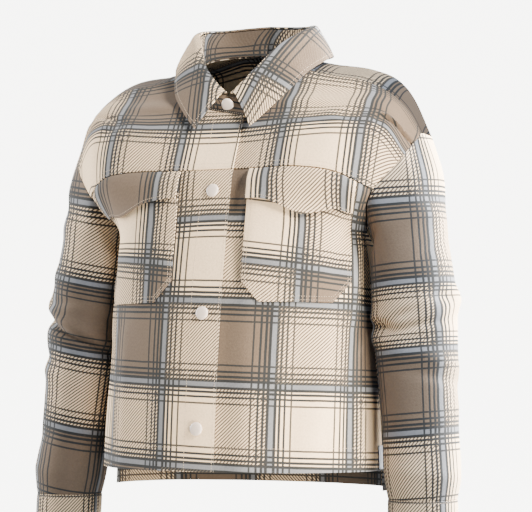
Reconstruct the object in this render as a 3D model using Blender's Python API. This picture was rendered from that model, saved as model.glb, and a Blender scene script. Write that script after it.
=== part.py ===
# A cropped plaid shacket, filled out as if worn, with no wearer inside.
# Metres, +Z up, the front looks along -Y and the wearer's left is +X.
# The origin lies between the shoulders at the height where the collar meets the shoulder.
# The half front and the half back are smooth surfaces through short tables of sections.
# Every cloth piece is a stretch of one of them with a wall behind it, parted from its neighbours.

import math

import bmesh
import bpy
import numpy as np
from mathutils import Vector

# Driving sizes
CLOTH = 0.0020            # wall of the flannel, body and sleeves
SEAM_GAP = 0.0003         # air between two pieces that are sewn together
LAP = 0.027               # how far each front runs past the centre line
UNDERLAP_STEP = 0.0042    # how far the left front is set in below the right one
LAP_END = 0.070           # x where the left front is back in line
LAP_FADE = 0.040
HEM_Z = -0.560            # lower edge of the fronts
BACK_HEM_Z = -0.588       # lower edge of the back, which is longer
VENT_TOP_Z = -0.500       # where the side seam ends and the side slit begins
CUFF_SEAM_Z = -0.603      # where the sleeve meets the cuff
CUFF_LENGTH = 0.058
BUTTON_RADIUS = 0.0092
BUTTON_HEIGHT = 0.0034
COLLAR_WALL = 0.0026
POCKET_WALL = 0.0018
FLAP_WALL = 0.0022
SHARP_ANGLE = 40.0        # edges that bend by more than this many degrees are drawn sharp

# The half front and the half back have seven points across each section, at these shares of its width.
ACROSS_KNOTS = (0.0, 0.095, 0.305, 0.53, 0.74, 0.885, 1.0)
FRONT_ANGLES = (0.0, 20.0, 42.0, 63.0, 77.0, 90.0)          # round the oval, after the front edge
BACK_ANGLES = (0.0, 6.0, 22.0, 42.0, 63.0, 77.0, 90.0)

# Sections below the arm: a quarter of a rounded oval, from the centre to the side seam.
FRONT_BODY = (
    # cloth height, half width, centre depth, centre z, side z, side y, squareness
    (0.000, 0.2080, 0.150, HEM_Z, HEM_Z, 0.000, 2.15),
    (0.060, 0.2055, 0.146, VENT_TOP_Z, VENT_TOP_Z, 0.000, 2.15),
    (0.140, 0.1985, 0.139, -0.422, -0.422, 0.000, 2.20),
    (0.215, 0.1925, 0.130, -0.347, -0.349, 0.000, 2.30),
    (0.295, 0.1850, 0.117, -0.266, -0.273, 0.003, 2.60),
    (0.340, 0.1800, 0.108, -0.222, -0.236, 0.006, 2.90),
)
BACK_BODY = (
    (-0.028, 0.2092, 0.138, BACK_HEM_Z, BACK_HEM_Z, 0.000, 2.30),
    (0.060, 0.2055, 0.135, VENT_TOP_Z, VENT_TOP_Z, 0.000, 2.30),
    (0.140, 0.1985, 0.131, -0.422, -0.422, 0.000, 2.30),
    (0.215, 0.1925, 0.128, -0.347, -0.349, 0.000, 2.35),
    (0.295, 0.1850, 0.125, -0.266, -0.273, 0.003, 2.60),
    (0.340, 0.1800, 0.123, -0.222, -0.236, 0.006, 2.90),
)
# The seam over the shoulder, neck to armhole, shared by the front and the back.
SHOULDER_SEAM = ((0.072, -0.002, -0.002), (0.092, -0.005, -0.008), (0.139, -0.008, -0.020),
                 (0.188, -0.008, -0.031), (0.229, -0.004, -0.054), (0.2515, -0.001, -0.079),
                 (0.264, 0.003, -0.104))
# Sections above the arm: cloth height, then x, y, z from the front edge or neckline to the armhole.
FRONT_TOP = (
    (0.413, (-LAP, -0.0925, -0.1510), (0.000, -0.0925, -0.1510), (0.060, -0.0930, -0.1510),
     (0.125, -0.0920, -0.1510), (0.178, -0.0830, -0.1600), (0.2070, -0.0670, -0.1760),
     (0.2165, -0.0540, -0.1840)),
    (0.457, (-LAP, -0.0755, -0.1110), (0.000, -0.0755, -0.1110), (0.060, -0.0765, -0.1095),
     (0.122, -0.0770, -0.1050), (0.180, -0.0680, -0.1050), (0.2230, -0.0480, -0.1120),
     (0.2480, -0.0360, -0.1450)),
    (0.496, (-LAP, -0.0600, -0.0755), (0.000, -0.0600, -0.0755), (0.058, -0.0605, -0.0755),
     (0.117, -0.0590, -0.0755), (0.178, -0.0510, -0.0770), (0.2290, -0.0350, -0.0870),
     (0.2550, -0.0220, -0.1290)),
    (0.519, (0.038, -0.0520, -0.0620), (0.060, -0.0525, -0.0600), (0.109, -0.0500, -0.0590),
     (0.158, -0.0430, -0.0620), (0.206, -0.0340, -0.0640), (0.2320, -0.0270, -0.0770),
     (0.2580, -0.0120, -0.1200)),
    (0.551, (0.061, -0.0320, -0.0360), (0.081, -0.0320, -0.0390), (0.126, -0.0300, -0.0430),
     (0.173, -0.0260, -0.0490), (0.212, -0.0200, -0.0530), (0.2370, -0.0130, -0.0710),
     (0.2615, -0.0040, -0.1120)),
    (0.587,) + SHOULDER_SEAM,
)
BACK_TOP = (
    (0.404, (0.0, 0.1210, -0.158), (0.022, 0.1210, -0.158), (0.070, 0.1205, -0.158),
     (0.124, 0.1170, -0.158), (0.176, 0.1040, -0.161), (0.2070, 0.0870, -0.167),
     (0.2200, 0.0740, -0.168)),
    (0.460, (0.0, 0.1150, -0.104), (0.025, 0.1150, -0.104), (0.080, 0.1145, -0.104),
     (0.138, 0.1090, -0.104), (0.190, 0.0990, -0.1075), (0.2230, 0.0850, -0.118),
     (0.2440, 0.0700, -0.136)),
    (0.520, (0.0, 0.0980, -0.042), (0.028, 0.0980, -0.042), (0.088, 0.0975, -0.0430),
     (0.150, 0.0930, -0.0480), (0.202, 0.0790, -0.0620), (0.2340, 0.0680, -0.0830),
     (0.2580, 0.0570, -0.1190)),
    (0.586, (0.0, 0.0670, 0.0215), (0.030, 0.0695, 0.0200), (0.092, 0.0725, 0.0070),
     (0.155, 0.0690, -0.0050), (0.207, 0.0590, -0.0260), (0.2380, 0.0510, -0.0580),
     (0.2650, 0.0420, -0.1110)),
    (0.618, (0.052, 0.0500, 0.0190), (0.078, 0.0500, 0.0120), (0.128, 0.0500, 0.0000),
     (0.178, 0.0460, -0.0095), (0.2210, 0.0390, -0.0310), (0.2440, 0.0340, -0.0600),
     (0.2680, 0.0290, -0.1070)),
    (0.647, (0.072, 0.0240, 0.0110), (0.094, 0.0230, 0.0045), (0.140, 0.0220, -0.0080),
     (0.186, 0.0200, -0.0170), (0.2250, 0.0175, -0.0400), (0.2470, 0.0165, -0.0670),
     (0.2675, 0.0150, -0.1060)),
    (0.675,) + SHOULDER_SEAM,
)
ARMPIT = 0.340              # cloth height where the side seam meets the armhole
FRONT_NECK = 0.496          # cloth height of the neckline at the centre front
BACK_NECK = 0.586           # cloth height of the neckline at the centre back
FRONT_YOKE = 0.413          # cloth height of the seam across the chest
BACK_YOKE = 0.460           # cloth height of the seam across the back
CORNER_REACH = 0.16         # share of the width over which an edge's corner fades into the panel

# Centre line of the wearer's left sleeve below its head, with its radii and how far its outer side is raised.
SLEEVE = (
    # share of the way down, x, y, z, radius across, radius fore and aft, tilt
    (0.30, 0.2430, 0.0090, -0.258, 0.0505, 0.0590, 0.026),
    (0.47, 0.2530, 0.0030, -0.335, 0.0570, 0.0590, 0.010),
    (0.60, 0.2590, -0.0020, -0.400, 0.0550, 0.0570, 0.004),
    (0.80, 0.2670, -0.0100, -0.500, 0.0510, 0.0530, 0.000),
    (0.97, 0.2740, -0.0200, -0.588, 0.0490, 0.0500, 0.000),
    (1.00, 0.2745, -0.0210, CUFF_SEAM_Z, 0.0460, 0.0475, 0.000),
)
HEAD_SHARE = 0.12           # the ring that gives the sleeve head its roundness
HEAD_BLEND = 0.42
HEAD_SWELL = 0.0085         # how far the head swells out over the outer side of the arm
ARMPIT_CLEAR = 0.0015       # air between the sleeve and the body at the armpit
HEAD_CLEAR = 0.0060         # how far it stands off the body at the armpit
LEFT_SLEEVE_RISE = 0.0080   # the wearer's left sleeve is pushed up by this much at its cuff
RISE_START = 0.60           # share of the sleeve where that begins
CUFF_END = (0.2760, -0.0240, 0.0445, 0.0460)      # x, y, radius across, radius fore and aft
ARMHOLE_OUTWARD = np.array([0.84, 0.0, -0.54])    # the way from the armhole into the sleeve
HEAD_OUTWARD = np.array([0.92, 0.0, 0.38])        # the way the sleeve head swells
# Folds at the elbow. Angle 0 is the outer side of the arm, 90 its back, 180 its side by the body
# and 270 its front.
ELBOW_FOLDS = {
    # share of the way down, height, half length, middle angle, spread of angle, slope per degree
    "left": (
        (0.475, 0.0032, 0.030, 10.0, 70.0, 0.0), (0.525, -0.0046, 0.022, 215.0, 85.0, 0.00045),
        (0.500, 0.0042, 0.022, 190.0, 60.0, 0.0), (0.560, 0.0040, 0.022, 180.0, 70.0, 0.0),
        (0.545, -0.0032, 0.018, 300.0, 60.0, -0.0003), (0.440, -0.0030, 0.020, 100.0, 60.0, 0.0),
    ),
    "right": (
        (0.480, 0.0042, 0.024, 5.0, 60.0, 0.0), (0.523, -0.0050, 0.020, 350.0, 65.0, 0.0003),
        (0.566, 0.0040, 0.024, 350.0, 60.0, 0.0), (0.590, -0.0038, 0.022, 260.0, 70.0, -0.0004),
        (0.500, -0.0030, 0.020, 190.0, 60.0, 0.0), (0.455, 0.0030, 0.022, 120.0, 60.0, 0.0),
    ),
}

# The wearer's right shoulder sits a little higher and wider, and the collar leans towards it.
SHOULDER_OUT = 0.0050
SHOULDER_UP = 0.0055
COLLAR_LEAN = 0.0030
COLLAR_UP = 0.0030

# The collar by share of the neckline, centre front to centre back: fold line, then outer edge.
COLLAR = (
    (0.00, (0.0020, -0.0520, -0.0420), (0.0430, -0.0750, -0.0910)),
    (0.17, (0.0200, -0.0500, -0.0260), (0.0660, -0.0630, -0.0680)),
    (0.33, (0.0380, -0.0420, -0.0060), (0.0880, -0.0460, -0.0420)),
    (0.52, (0.0610, -0.0130, 0.0280), (0.1060, -0.0130, -0.0110)),
    (0.73, (0.0830, 0.0350, 0.0570), (0.1180, 0.0380, 0.0130)),
    (0.87, (0.0580, 0.0680, 0.0620), (0.0880, 0.0760, 0.0140)),
    (1.00, (0.0000, 0.0790, 0.0660), (0.0000, 0.0870, 0.0130)),
)
STAND_LEAN = 1.75           # the under end of the stand leans in by this many underlap steps
STAND_DROP = 0.0062         # the stand ends this far below the fold line
STAND_FRONT = (-0.14, (-0.0290, -0.0525, -0.0445))       # share and upper edge where it passes the centre
FALL_FIRST = 0.04           # share of the neckline at the fall's first column after its front edge
FALL_ROWS = ((0.80, 0.0030), (0.52, 0.0060), (0.27, 0.0078))     # share from the fold, swell of the cloth
FOLD_SWELL = 0.0062         # swell of the last row before the fold
FOLD_RISE = 0.0002          # how far that row stands above the fold

# Pocket, flap and label, measured on the cloth from the front edge and up from the hem
POCKET_BOTTOM = 0.229
POCKET_TOP = 0.384
POCKET_CORNER = 0.028
POCKET_LIFT = 0.0006        # air between the front and the pocket
FLAP_DEPTHS = (0.0430, 0.0435, 0.0525, 0.0600, 0.0525, 0.0435, 0.0430)
POCKET_COLUMNS = (0.079, 0.107, 0.1315, 0.1565, 0.1815, 0.206, 0.234)
EDGE_COLUMNS = (0.0, 0.027, 0.053)
SIDE_SHARES = (1 / 3, 2 / 3, 1.0)
FLAP_TOP = 0.0012           # air between the flap's head and the yoke seam
FLAP_ROWS = (1.0, 0.72, 0.48, 0.34, 0.0)          # share of the flap's depth, lower edge first
FLAP_LIFTS = (0.0064, 0.0058, 0.0052, 0.0044, 0.0003)
BUTTON_HEIGHTS = (0.382, 0.214, 0.057)
BUTTON_SIDES = 16
BUTTON_PROFILE = ((1.0, 0.0), (1.0, 0.36), (0.90, 0.66), (0.62, 0.90), (0.30, 1.0))   # radius, height
STAND_BUTTON_LIFT = 0.0010  # air below its button, where the stand curves back
STAND_BUTTON_SHARE = 0.47   # how far up the stand its button sits
LABEL_LOW, LABEL_HIGH = 0.06, 0.96                # shares of the lowest cell at the left side seam
LABEL_INNER, LABEL_OUTER = 0.60, 0.97
LABEL_WALL = 0.0010

# The rows of each piece by cloth height
LOWER_ROWS = np.array([0.0, 0.035, 0.060, 0.117, 0.173, POCKET_BOTTOM, POCKET_BOTTOM + POCKET_CORNER,
                       0.298, ARMPIT, 0.362, POCKET_TOP, FRONT_YOKE])
FRONT_YOKE_ROWS = np.array([FRONT_YOKE, 0.435, 0.457, 0.477, FRONT_NECK, 0.502, 0.508, 0.513, 0.519, 0.535,
                            0.551, 0.569, 0.587])
BACK_ROWS = np.array([-0.028, 0.016, 0.060, 0.117, 0.173, POCKET_BOTTOM, POCKET_BOTTOM + POCKET_CORNER,
                      0.298, ARMPIT, 0.372, 0.404, 0.432, BACK_YOKE])
BACK_YOKE_ROWS = np.array([BACK_YOKE, 0.490, 0.520, 0.553, BACK_NECK, 0.593, 0.602, 0.610, 0.618, 0.633,
                           0.647, 0.661, 0.675])
BACK_NECK_ROW = int(np.abs(BACK_YOKE_ROWS - BACK_NECK).argmin())
SLEEVE_ROWS = np.array([1.0, 0.97, 0.86, 0.74, 0.65, 0.60, 0.57, 0.54, 0.51, 0.48, 0.45, 0.40,
                        0.32, 0.21, 0.12, 0.05, 0.0])

COLOURS = {
    # colour, roughness, metallic
    "flannel": ((0.62, 0.54, 0.46, 1.0), 0.90, 0.0),
    "flannel_light": ((0.74, 0.67, 0.58, 1.0), 0.90, 0.0),
    "button": ((0.80, 0.75, 0.71, 1.0), 0.35, 0.0),
    "label": ((0.62, 0.62, 0.64, 1.0), 0.50, 0.0),
}
MIRROR = np.array([-1.0, 1.0, 1.0])


def ease(t):
    """A smooth step from 0 to 1."""
    t = np.clip(t, 0, 1)
    return 3 * t**2 - 2 * t**3


def hermite(knots, values, places, corners=None):
    """Values on a smooth curve through values at knots. corners says how far a knot is a corner."""
    knots = np.asarray(knots, float)
    values = np.asarray(values, float)
    places = np.clip(np.asarray(places, float), knots[0], knots[-1])
    gaps = np.diff(knots)
    slopes = np.diff(values, axis=0) / gaps.reshape((-1,) + (1,) * (values.ndim - 1))
    arriving = np.empty_like(values)
    arriving[0], arriving[-1] = slopes[0], slopes[-1]
    share = (gaps[:-1] / (gaps[:-1] + gaps[1:])).reshape((-1,) + (1,) * (values.ndim - 1))
    arriving[1:-1] = slopes[:-1] * (1 - share) + slopes[1:] * share
    leaving = arriving.copy()
    if corners is not None:
        for row, amount in corners:
            arriving[row] += (slopes[row - 1] - arriving[row]) * amount
            leaving[row] += (slopes[row] - leaving[row]) * amount
    cell = np.clip(np.searchsorted(knots, places, side="right") - 1, 0, len(gaps) - 1)
    shape = places.shape + (1,) * (values.ndim - 1)
    width = gaps[cell].reshape(shape)
    t = ((places - knots[cell])).reshape(shape) / width
    return (
        (2 * t**3 - 3 * t**2 + 1) * values[cell]
        + (t**3 - 2 * t**2 + t) * width * leaving[cell]
        + (3 * t**2 - 2 * t**3) * values[cell + 1]
        + (t**3 - t**2) * width * arriving[cell + 1]
    )


def body_section(row, angles, facing, start_x):
    """Points of a quarter oval from the centre line to the side seam. facing is -1 for the front."""
    _, half_width, depth, centre_z, side_z, side_y, square = row
    points = []
    for angle in angles:
        s, c = math.sin(math.radians(angle)), math.cos(math.radians(angle))
        share = s ** (2 / square)
        y = side_y + (facing * depth - side_y) * max(c, 0.0) ** (2 / square)
        points.append((half_width * share, y, centre_z + (side_z - centre_z) * share**2))
    if start_x < 0:
        share = (1 - (-start_x / half_width) ** square) ** (1 / square)
        points.insert(0, (start_x, side_y + (facing * depth - side_y) * share, centre_z))
    return points


class HalfSurface:
    """Half of the front or of the back as a smooth surface: across runs 0 to 1, height is along the cloth."""

    def __init__(self, body, top, angles, facing, start_x, neck):
        self.heights = np.array([r[0] for r in body] + [r[0] for r in top])
        rows = [body_section(r, angles, facing, start_x) for r in body] + [r[1:] for r in top]
        self.rows = np.array(rows, float)
        gaps = np.linalg.norm(np.diff(self.rows, axis=1), axis=2)
        self.lengths = np.concatenate([np.zeros((len(rows), 1)), np.cumsum(gaps, axis=1)], axis=1)
        self.armpit_row = len(body) - 1
        self.neck_row = int(np.abs(self.heights - neck).argmin())

    def points(self, across, height):
        """Points at every pair of across and height, two 1-D arrays of one length."""
        along = hermite(ACROSS_KNOTS, self.rows.transpose(1, 0, 2), across)
        out = np.empty((len(across), 3))
        for i, share in enumerate(across):
            inner = max(0.0, 1 - share / CORNER_REACH)
            outer = max(0.0, 1 - (1 - share) / CORNER_REACH)
            corners = ((self.armpit_row, outer), (self.neck_row, inner))
            out[i] = hermite(self.heights, along[i], height[i : i + 1], corners)[0]
        return out

    def across_at(self, distance, height):
        """The across value this far along the cloth from the front edge, at one cloth height."""
        lengths = hermite(self.heights, self.lengths, [height])[0]
        return float(np.interp(distance, lengths, ACROSS_KNOTS))


FRONT = HalfSurface(FRONT_BODY, FRONT_TOP, FRONT_ANGLES, -1, -LAP, FRONT_NECK)
BACK = HalfSurface(BACK_BODY, BACK_TOP, BACK_ANGLES, 1, 0.0, BACK_NECK)


def grid_of(surface, across, height):
    """Surface points on a grid, rows by height. across is 1-D, or 2-D with a row for each height."""
    height = np.asarray(height, float)
    across = np.asarray(across, float)
    if across.ndim == 1:
        across = np.tile(across, (len(height), 1))
    flat = surface.points(across.ravel(), np.repeat(height, across.shape[1]))
    return flat.reshape(across.shape + (3,))


def grid_normals(grid, closed=False):
    """Unit normals of a grid of points, from its two directions."""
    if closed:
        wrapped = np.concatenate([grid[:, -1:], grid, grid[:, :1]], axis=1)
        along = (wrapped[:, 2:] - wrapped[:, :-2]) / 2
    else:
        along = np.gradient(grid, axis=1)
    up = np.gradient(grid, axis=0)
    normal = np.cross(along, up)
    return normal / np.maximum(np.linalg.norm(normal, axis=2, keepdims=True), 1e-12)


def pull_in(grid, distance, sides="LRBT"):
    """Moves the outer rows and columns of a grid inwards along the cloth, which leaves the air in a seam."""
    out = grid.copy()

    def towards(a, b):
        step = b - a
        return step / np.maximum(np.linalg.norm(step, axis=-1, keepdims=True), 1e-9) * distance

    if "L" in sides:
        out[:, 0] += towards(grid[:, 0], grid[:, 1])
    if "R" in sides:
        out[:, -1] += towards(grid[:, -1], grid[:, -2])
    if "B" in sides:
        out[0] += towards(grid[0], grid[1])
    if "T" in sides:
        out[-1] += towards(grid[-1], grid[-2])
    return out


def material(name):
    """The named finish, made once."""
    found = bpy.data.materials.get(name)
    if found:
        return found
    colour, rough, metal = COLOURS[name]
    made = bpy.data.materials.new(name)
    made.use_nodes = True
    shader = made.node_tree.nodes["Principled BSDF"]
    shader.inputs["Base Color"].default_value = colour
    shader.inputs["Roughness"].default_value = rough
    shader.inputs["Metallic"].default_value = metal
    return made


def finish(mesh_maker, name, finish_name, collection):
    """A new object from a bmesh, smooth, with its finish."""
    bmesh.ops.recalc_face_normals(mesh_maker, faces=mesh_maker.faces)
    mesh = bpy.data.meshes.new(name)
    mesh_maker.to_mesh(mesh)
    mesh_maker.free()
    mesh.shade_smooth()
    mesh.set_sharp_from_angle(angle=math.radians(SHARP_ANGLE))
    mesh.materials.append(material(finish_name))
    thing = bpy.data.objects.new(name, mesh)
    collection.objects.link(thing)
    return thing


def grid_polygons(rows, columns, closed=False):
    """Quads of a grid, as index tuples. closed joins the last column to the first."""
    last = columns if closed else columns - 1
    quads = []
    for i in range(rows - 1):
        for j in range(last):
            k = (j + 1) % columns
            quads.append((i * columns + j, i * columns + k, (i + 1) * columns + k, (i + 1) * columns + j))
    return quads


def wall(name, outer, inner, finish_name, collection, polygons=None, closed=False):
    """A closed wall between an outer and an inner set of points that share their polygons."""
    if polygons is None:
        polygons = grid_polygons(outer.shape[0], outer.shape[1], closed)
    used = sorted({i for polygon in polygons for i in polygon})
    maker = bmesh.new()
    skins = [{i: maker.verts.new(Vector(skin.reshape(-1, 3)[i])) for i in used} for skin in (outer, inner)]
    sides = {}
    for polygon in polygons:
        for skin in skins:
            maker.faces.new([skin[i] for i in polygon])
        for k in range(len(polygon)):
            pair = (polygon[k], polygon[(k + 1) % len(polygon)])
            sides.setdefault(tuple(sorted(pair)), []).append(pair)
    for pairs in sides.values():
        if len(pairs) == 1:
            p, q = pairs[0]
            maker.faces.new((skins[0][p], skins[0][q], skins[1][q], skins[1][p]))
    return finish(maker, name, finish_name, collection)


def settle(grid):
    """Moves the wearer's right shoulder out and up, and the collar towards it. Each share fades in by place."""
    out = grid.copy()
    x, z = grid[..., 0], grid[..., 2]
    shoulder = ease((-x - 0.10) / 0.10) * ease((z + 0.24) / 0.12)
    collar = ease((z + 0.03) / 0.06) * ease((0.11 - np.abs(x)) / 0.04 + 1) * ease((0.06 - x) / 0.10)
    out[..., 0] -= shoulder * SHOULDER_OUT + collar * COLLAR_LEAN
    out[..., 2] += shoulder * SHOULDER_UP + collar * COLLAR_UP
    return out


def mirrored(grid):
    """The same grid on the wearer's other side, its columns reversed so that it still faces out."""
    return grid[:, ::-1] * MIRROR


def border(grid, normals):
    """The border of a grid as a loop of points and their normals."""
    def loop(a):
        return np.concatenate([a[0], a[1:, -1], a[-1, -2::-1], a[-2:0:-1, 0]])
    return loop(grid), loop(normals)


def share_seams(pieces, reach=0.0012):
    """Turns the normals at the edges of the pieces that are sewn together into one normal for both."""
    loops = {name: border(*piece) for name, piece in pieces.items()}
    shared = {}
    for name, (grid, normals) in pieces.items():
        out = normals.copy()
        rows, columns = grid.shape[:2]
        for i in range(rows):
            for j in range(columns):
                if 0 < i < rows - 1 and 0 < j < columns - 1:
                    continue
                total = normals[i, j].copy()
                for other, (points, ways) in loops.items():
                    if other == name:
                        continue
                    ends, end_ways = np.roll(points, -1, axis=0), np.roll(ways, -1, axis=0)
                    span = ends - points
                    t = ((grid[i, j] - points) * span).sum(1) / np.maximum((span**2).sum(1), 1e-12)
                    t = np.clip(t, 0, 1)[:, None]
                    gap = np.linalg.norm(points + span * t - grid[i, j], axis=1)
                    k = int(gap.argmin())
                    if gap[k] < reach:
                        total += ways[k] * (1 - t[k]) + end_ways[k] * t[k]
                out[i, j] = total / np.linalg.norm(total)
        shared[name] = out
    return shared


def front_columns(height):
    """Across values of the front's columns at one cloth height."""
    inner = [FRONT.across_at(u, height) for u in EDGE_COLUMNS + POCKET_COLUMNS]
    return inner + [inner[-1] + (1 - inner[-1]) * share for share in SIDE_SHARES]


YOKE_COLUMNS = front_columns(FRONT_YOKE)


def both_sides(half):
    """A whole back grid from its half: wearer's left side, centre, wearer's right side."""
    return np.concatenate([half[:, ::-1], (half * MIRROR)[:, 1:]], axis=1)


def underlapped(grid):
    """The left front: set in under the right one along the centre, and back in line beyond the lap."""
    out = grid.copy()
    out[..., 1] += UNDERLAP_STEP * ease((LAP_END - grid[..., 0]) / LAP_FADE)
    return out


def body_pieces():
    """Outer grids of the body's cloth pieces."""
    front = grid_of(FRONT, [front_columns(h) for h in LOWER_ROWS], LOWER_ROWS)
    yoke = grid_of(FRONT, YOKE_COLUMNS, FRONT_YOKE_ROWS)
    return {
        "front_left": underlapped(front),
        "front_right": mirrored(front),
        "yoke_front_left": underlapped(yoke),
        "yoke_front_right": mirrored(yoke),
        "back": both_sides(grid_of(BACK, YOKE_COLUMNS, BACK_ROWS)),
    }


def back_yoke_polygons():
    """Quads of the two halves of the back yoke, joined at the centre up to the neckline."""
    half = len(YOKE_COLUMNS)
    columns = 2 * half
    quads = []
    for quad in grid_polygons(len(BACK_YOKE_ROWS), columns):
        if quad[0] % columns == half - 1:
            continue
        quads.append(tuple(
            i - 1 if i % columns == half and i // columns <= BACK_NECK_ROW else i for i in quad
        ))
    return quads


def armhole_ring():
    """The wearer's left armhole from the armpit up the front, over the shoulder and down the back.

    It comes with an angle round the arm for each of its points.
    """
    front_rows = np.concatenate([LOWER_ROWS[LOWER_ROWS >= ARMPIT], FRONT_YOKE_ROWS[1:]])
    back_rows = np.concatenate([BACK_ROWS[BACK_ROWS >= ARMPIT], BACK_YOKE_ROWS[1:]])
    front = grid_of(FRONT, [1.0], front_rows)[:, 0]
    back = grid_of(BACK, [1.0], back_rows)[:, 0]
    ring = np.concatenate([front, back[-2:0:-1]])

    def shares(points):
        run = np.concatenate([[0.0], np.cumsum(np.linalg.norm(np.diff(points, axis=0), axis=1))])
        return run / run[-1]

    angles = np.concatenate([180 + 180 * shares(front), 360 + (180 * (1 - shares(back)))[-2:0:-1]])
    return ring, angles


def ellipse(angles, x, y, z, across, fore, tilt=0.0):
    """A ring round the arm, its outer side raised by tilt."""
    c, s = np.cos(np.radians(angles)), np.sin(np.radians(angles))
    return np.stack([x + across * c, y + fore * s, z + tilt * c], axis=1)


def fold_height(folds, share, angles):
    """How far the elbow folds push the cloth out at one share of the sleeve."""
    total = np.zeros(len(angles))
    for at, height, reach, middle, spread, slope in folds:
        turn = (angles - middle + 180) % 360 - 180
        run = (share - at - slope * turn) / reach
        total += height * np.exp(-(run**2)) * np.exp(-((turn / spread) ** 2))
    return total


def sleeve_grid(side):
    """The sleeve of one side, in the wearer's left place, cuff seam first and armhole last."""
    hole, angles = armhole_ring()
    inner_side = np.maximum(-np.cos(np.radians(angles)), 0)[:, None]
    hole = hole + SEAM_GAP * ARMHOLE_OUTWARD + inner_side * ARMPIT_CLEAR * np.array([1.0, 0.0, 0.0])
    rings = [ellipse(angles, *row[1:]) for row in SLEEVE]
    head = hole * (1 - HEAD_BLEND) + rings[0] * HEAD_BLEND
    outer_side = np.maximum(np.cos(np.radians(angles)), 0)[:, None]
    head = head + outer_side * HEAD_SWELL * HEAD_OUTWARD
    head = head + inner_side * HEAD_CLEAR * np.array([1.0, 0.0, 0.0])
    knots = [0.0, HEAD_SHARE] + [row[0] for row in SLEEVE]
    stack = np.array([hole, head] + rings)
    if side == "left":
        for i, share in enumerate(knots):
            stack[i, :, 2] += LEFT_SLEEVE_RISE * max(0.0, (share - RISE_START) / (1 - RISE_START))
    grid = hermite(knots, stack, SLEEVE_ROWS)
    normals = grid_normals(grid, closed=True)
    for i, share in enumerate(SLEEVE_ROWS):
        grid[i] += normals[i] * fold_height(ELBOW_FOLDS[side], share, angles)[:, None]
    return grid


def cuff_grid(side):
    """The cuff of one side, in the wearer's left place, lower edge first."""
    _, angles = armhole_ring()
    _, x, y, z, across, fore, _ = SLEEVE[-1]
    if side == "left":
        z += LEFT_SLEEVE_RISE
    top = z - SEAM_GAP
    low = z - CUFF_LENGTH
    end_x, end_y, end_across, end_fore = CUFF_END
    return np.array([
        ellipse(angles, end_x, end_y, low, end_across, end_fore),
        ellipse(angles, x, y, top, across, fore),
    ])


def neckline(yoke_front, yoke_back_half):
    """Neckline points of one side, from the front edge round to the centre back, and their shares."""
    first = int(np.abs(FRONT_YOKE_ROWS - FRONT_NECK).argmin())
    points = np.concatenate([yoke_front[first:, 0], yoke_back_half[BACK_NECK_ROW:-1, 0][::-1]])
    run = np.concatenate([[0.0], np.cumsum(np.linalg.norm(np.diff(points, axis=0), axis=1))])
    return points, (run - LAP) / (run[-1] - LAP)


def stand_half(points, shares, step):
    """Half of the collar stand on the neckline. step sets its front end in, for the half that lies under."""
    table = [STAND_FRONT] + [row[:2] for row in COLLAR]
    fold = hermite([r[0] for r in table], [r[1] for r in table], shares)
    top = fold - np.array([0, 0, STAND_DROP])
    before = fold[:, 1] < 0
    top[:, 1] += STAND_LEAN * step * ease((LAP_END - fold[:, 0]) / LAP_FADE) * before
    foot = points + np.array([0, 0, SEAM_GAP])
    middle = (foot + top) / 2
    return np.array([foot, middle, top])


def fall_half(shares):
    """Half of the turned-down collar, outer edge first and fold last."""
    keys = [r[0] for r in COLLAR]
    shares = np.concatenate([[0.0], shares[shares > FALL_FIRST]])
    fold = hermite(keys, [r[1] for r in COLLAR], shares)
    edge = hermite(keys, [r[2] for r in COLLAR], shares)
    out = edge - fold
    out[:, 2] = 0
    out /= np.linalg.norm(out, axis=1, keepdims=True)
    up = np.array([0.0, 0.0, 1.0])
    rows = [edge]
    for share, swell in FALL_ROWS:
        rows.append(fold + (edge - fold) * share + out * swell)
    rows.append(fold + out * FOLD_SWELL + up * FOLD_RISE)
    rows.append(fold.copy())
    return np.array(rows)


def button(name, place, normal, collection):
    """A domed snap cap on the cloth at place."""
    normal = normal / np.linalg.norm(normal)
    side = np.cross(normal, [0.0, 0.0, 1.0])
    side /= np.linalg.norm(side)
    up = np.cross(side, normal)
    maker = bmesh.new()
    base = np.asarray(place) + normal * SEAM_GAP
    rings = []
    for share, height in BUTTON_PROFILE:
        ring = []
        for k in range(BUTTON_SIDES):
            turn = 2 * math.pi * k / BUTTON_SIDES
            offset = (side * math.cos(turn) + up * math.sin(turn)) * BUTTON_RADIUS * share
            ring.append(maker.verts.new(Vector(base + offset + normal * BUTTON_HEIGHT * height)))
        rings.append(ring)
    for low, high in zip(rings, rings[1:]):
        for k in range(BUTTON_SIDES):
            n = (k + 1) % BUTTON_SIDES
            maker.faces.new((low[k], low[n], high[n], high[k]))
    maker.faces.new(rings[0])
    maker.faces.new(rings[-1])
    return finish(maker, name, "button", collection)


def panel_plate(name, grid, normals, lift, thick, finish_name, collection, cut_corners=False):
    """A plate laid on a panel: its points moved out by lift, then by its wall. cut_corners bevels its foot."""
    rows, columns = grid.shape[:2]
    lift = np.broadcast_to(np.asarray(lift, float).reshape(-1, 1, 1), (rows, 1, 1))
    polygons = grid_polygons(rows, columns)
    if cut_corners:
        polygons[0] = tuple(i for i in polygons[0] if i != 0)
        polygons[columns - 2] = tuple(i for i in polygons[columns - 2] if i != columns - 1)
    return wall(name, grid + normals * (lift + thick), grid + normals * lift, finish_name, collection, polygons)


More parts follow.
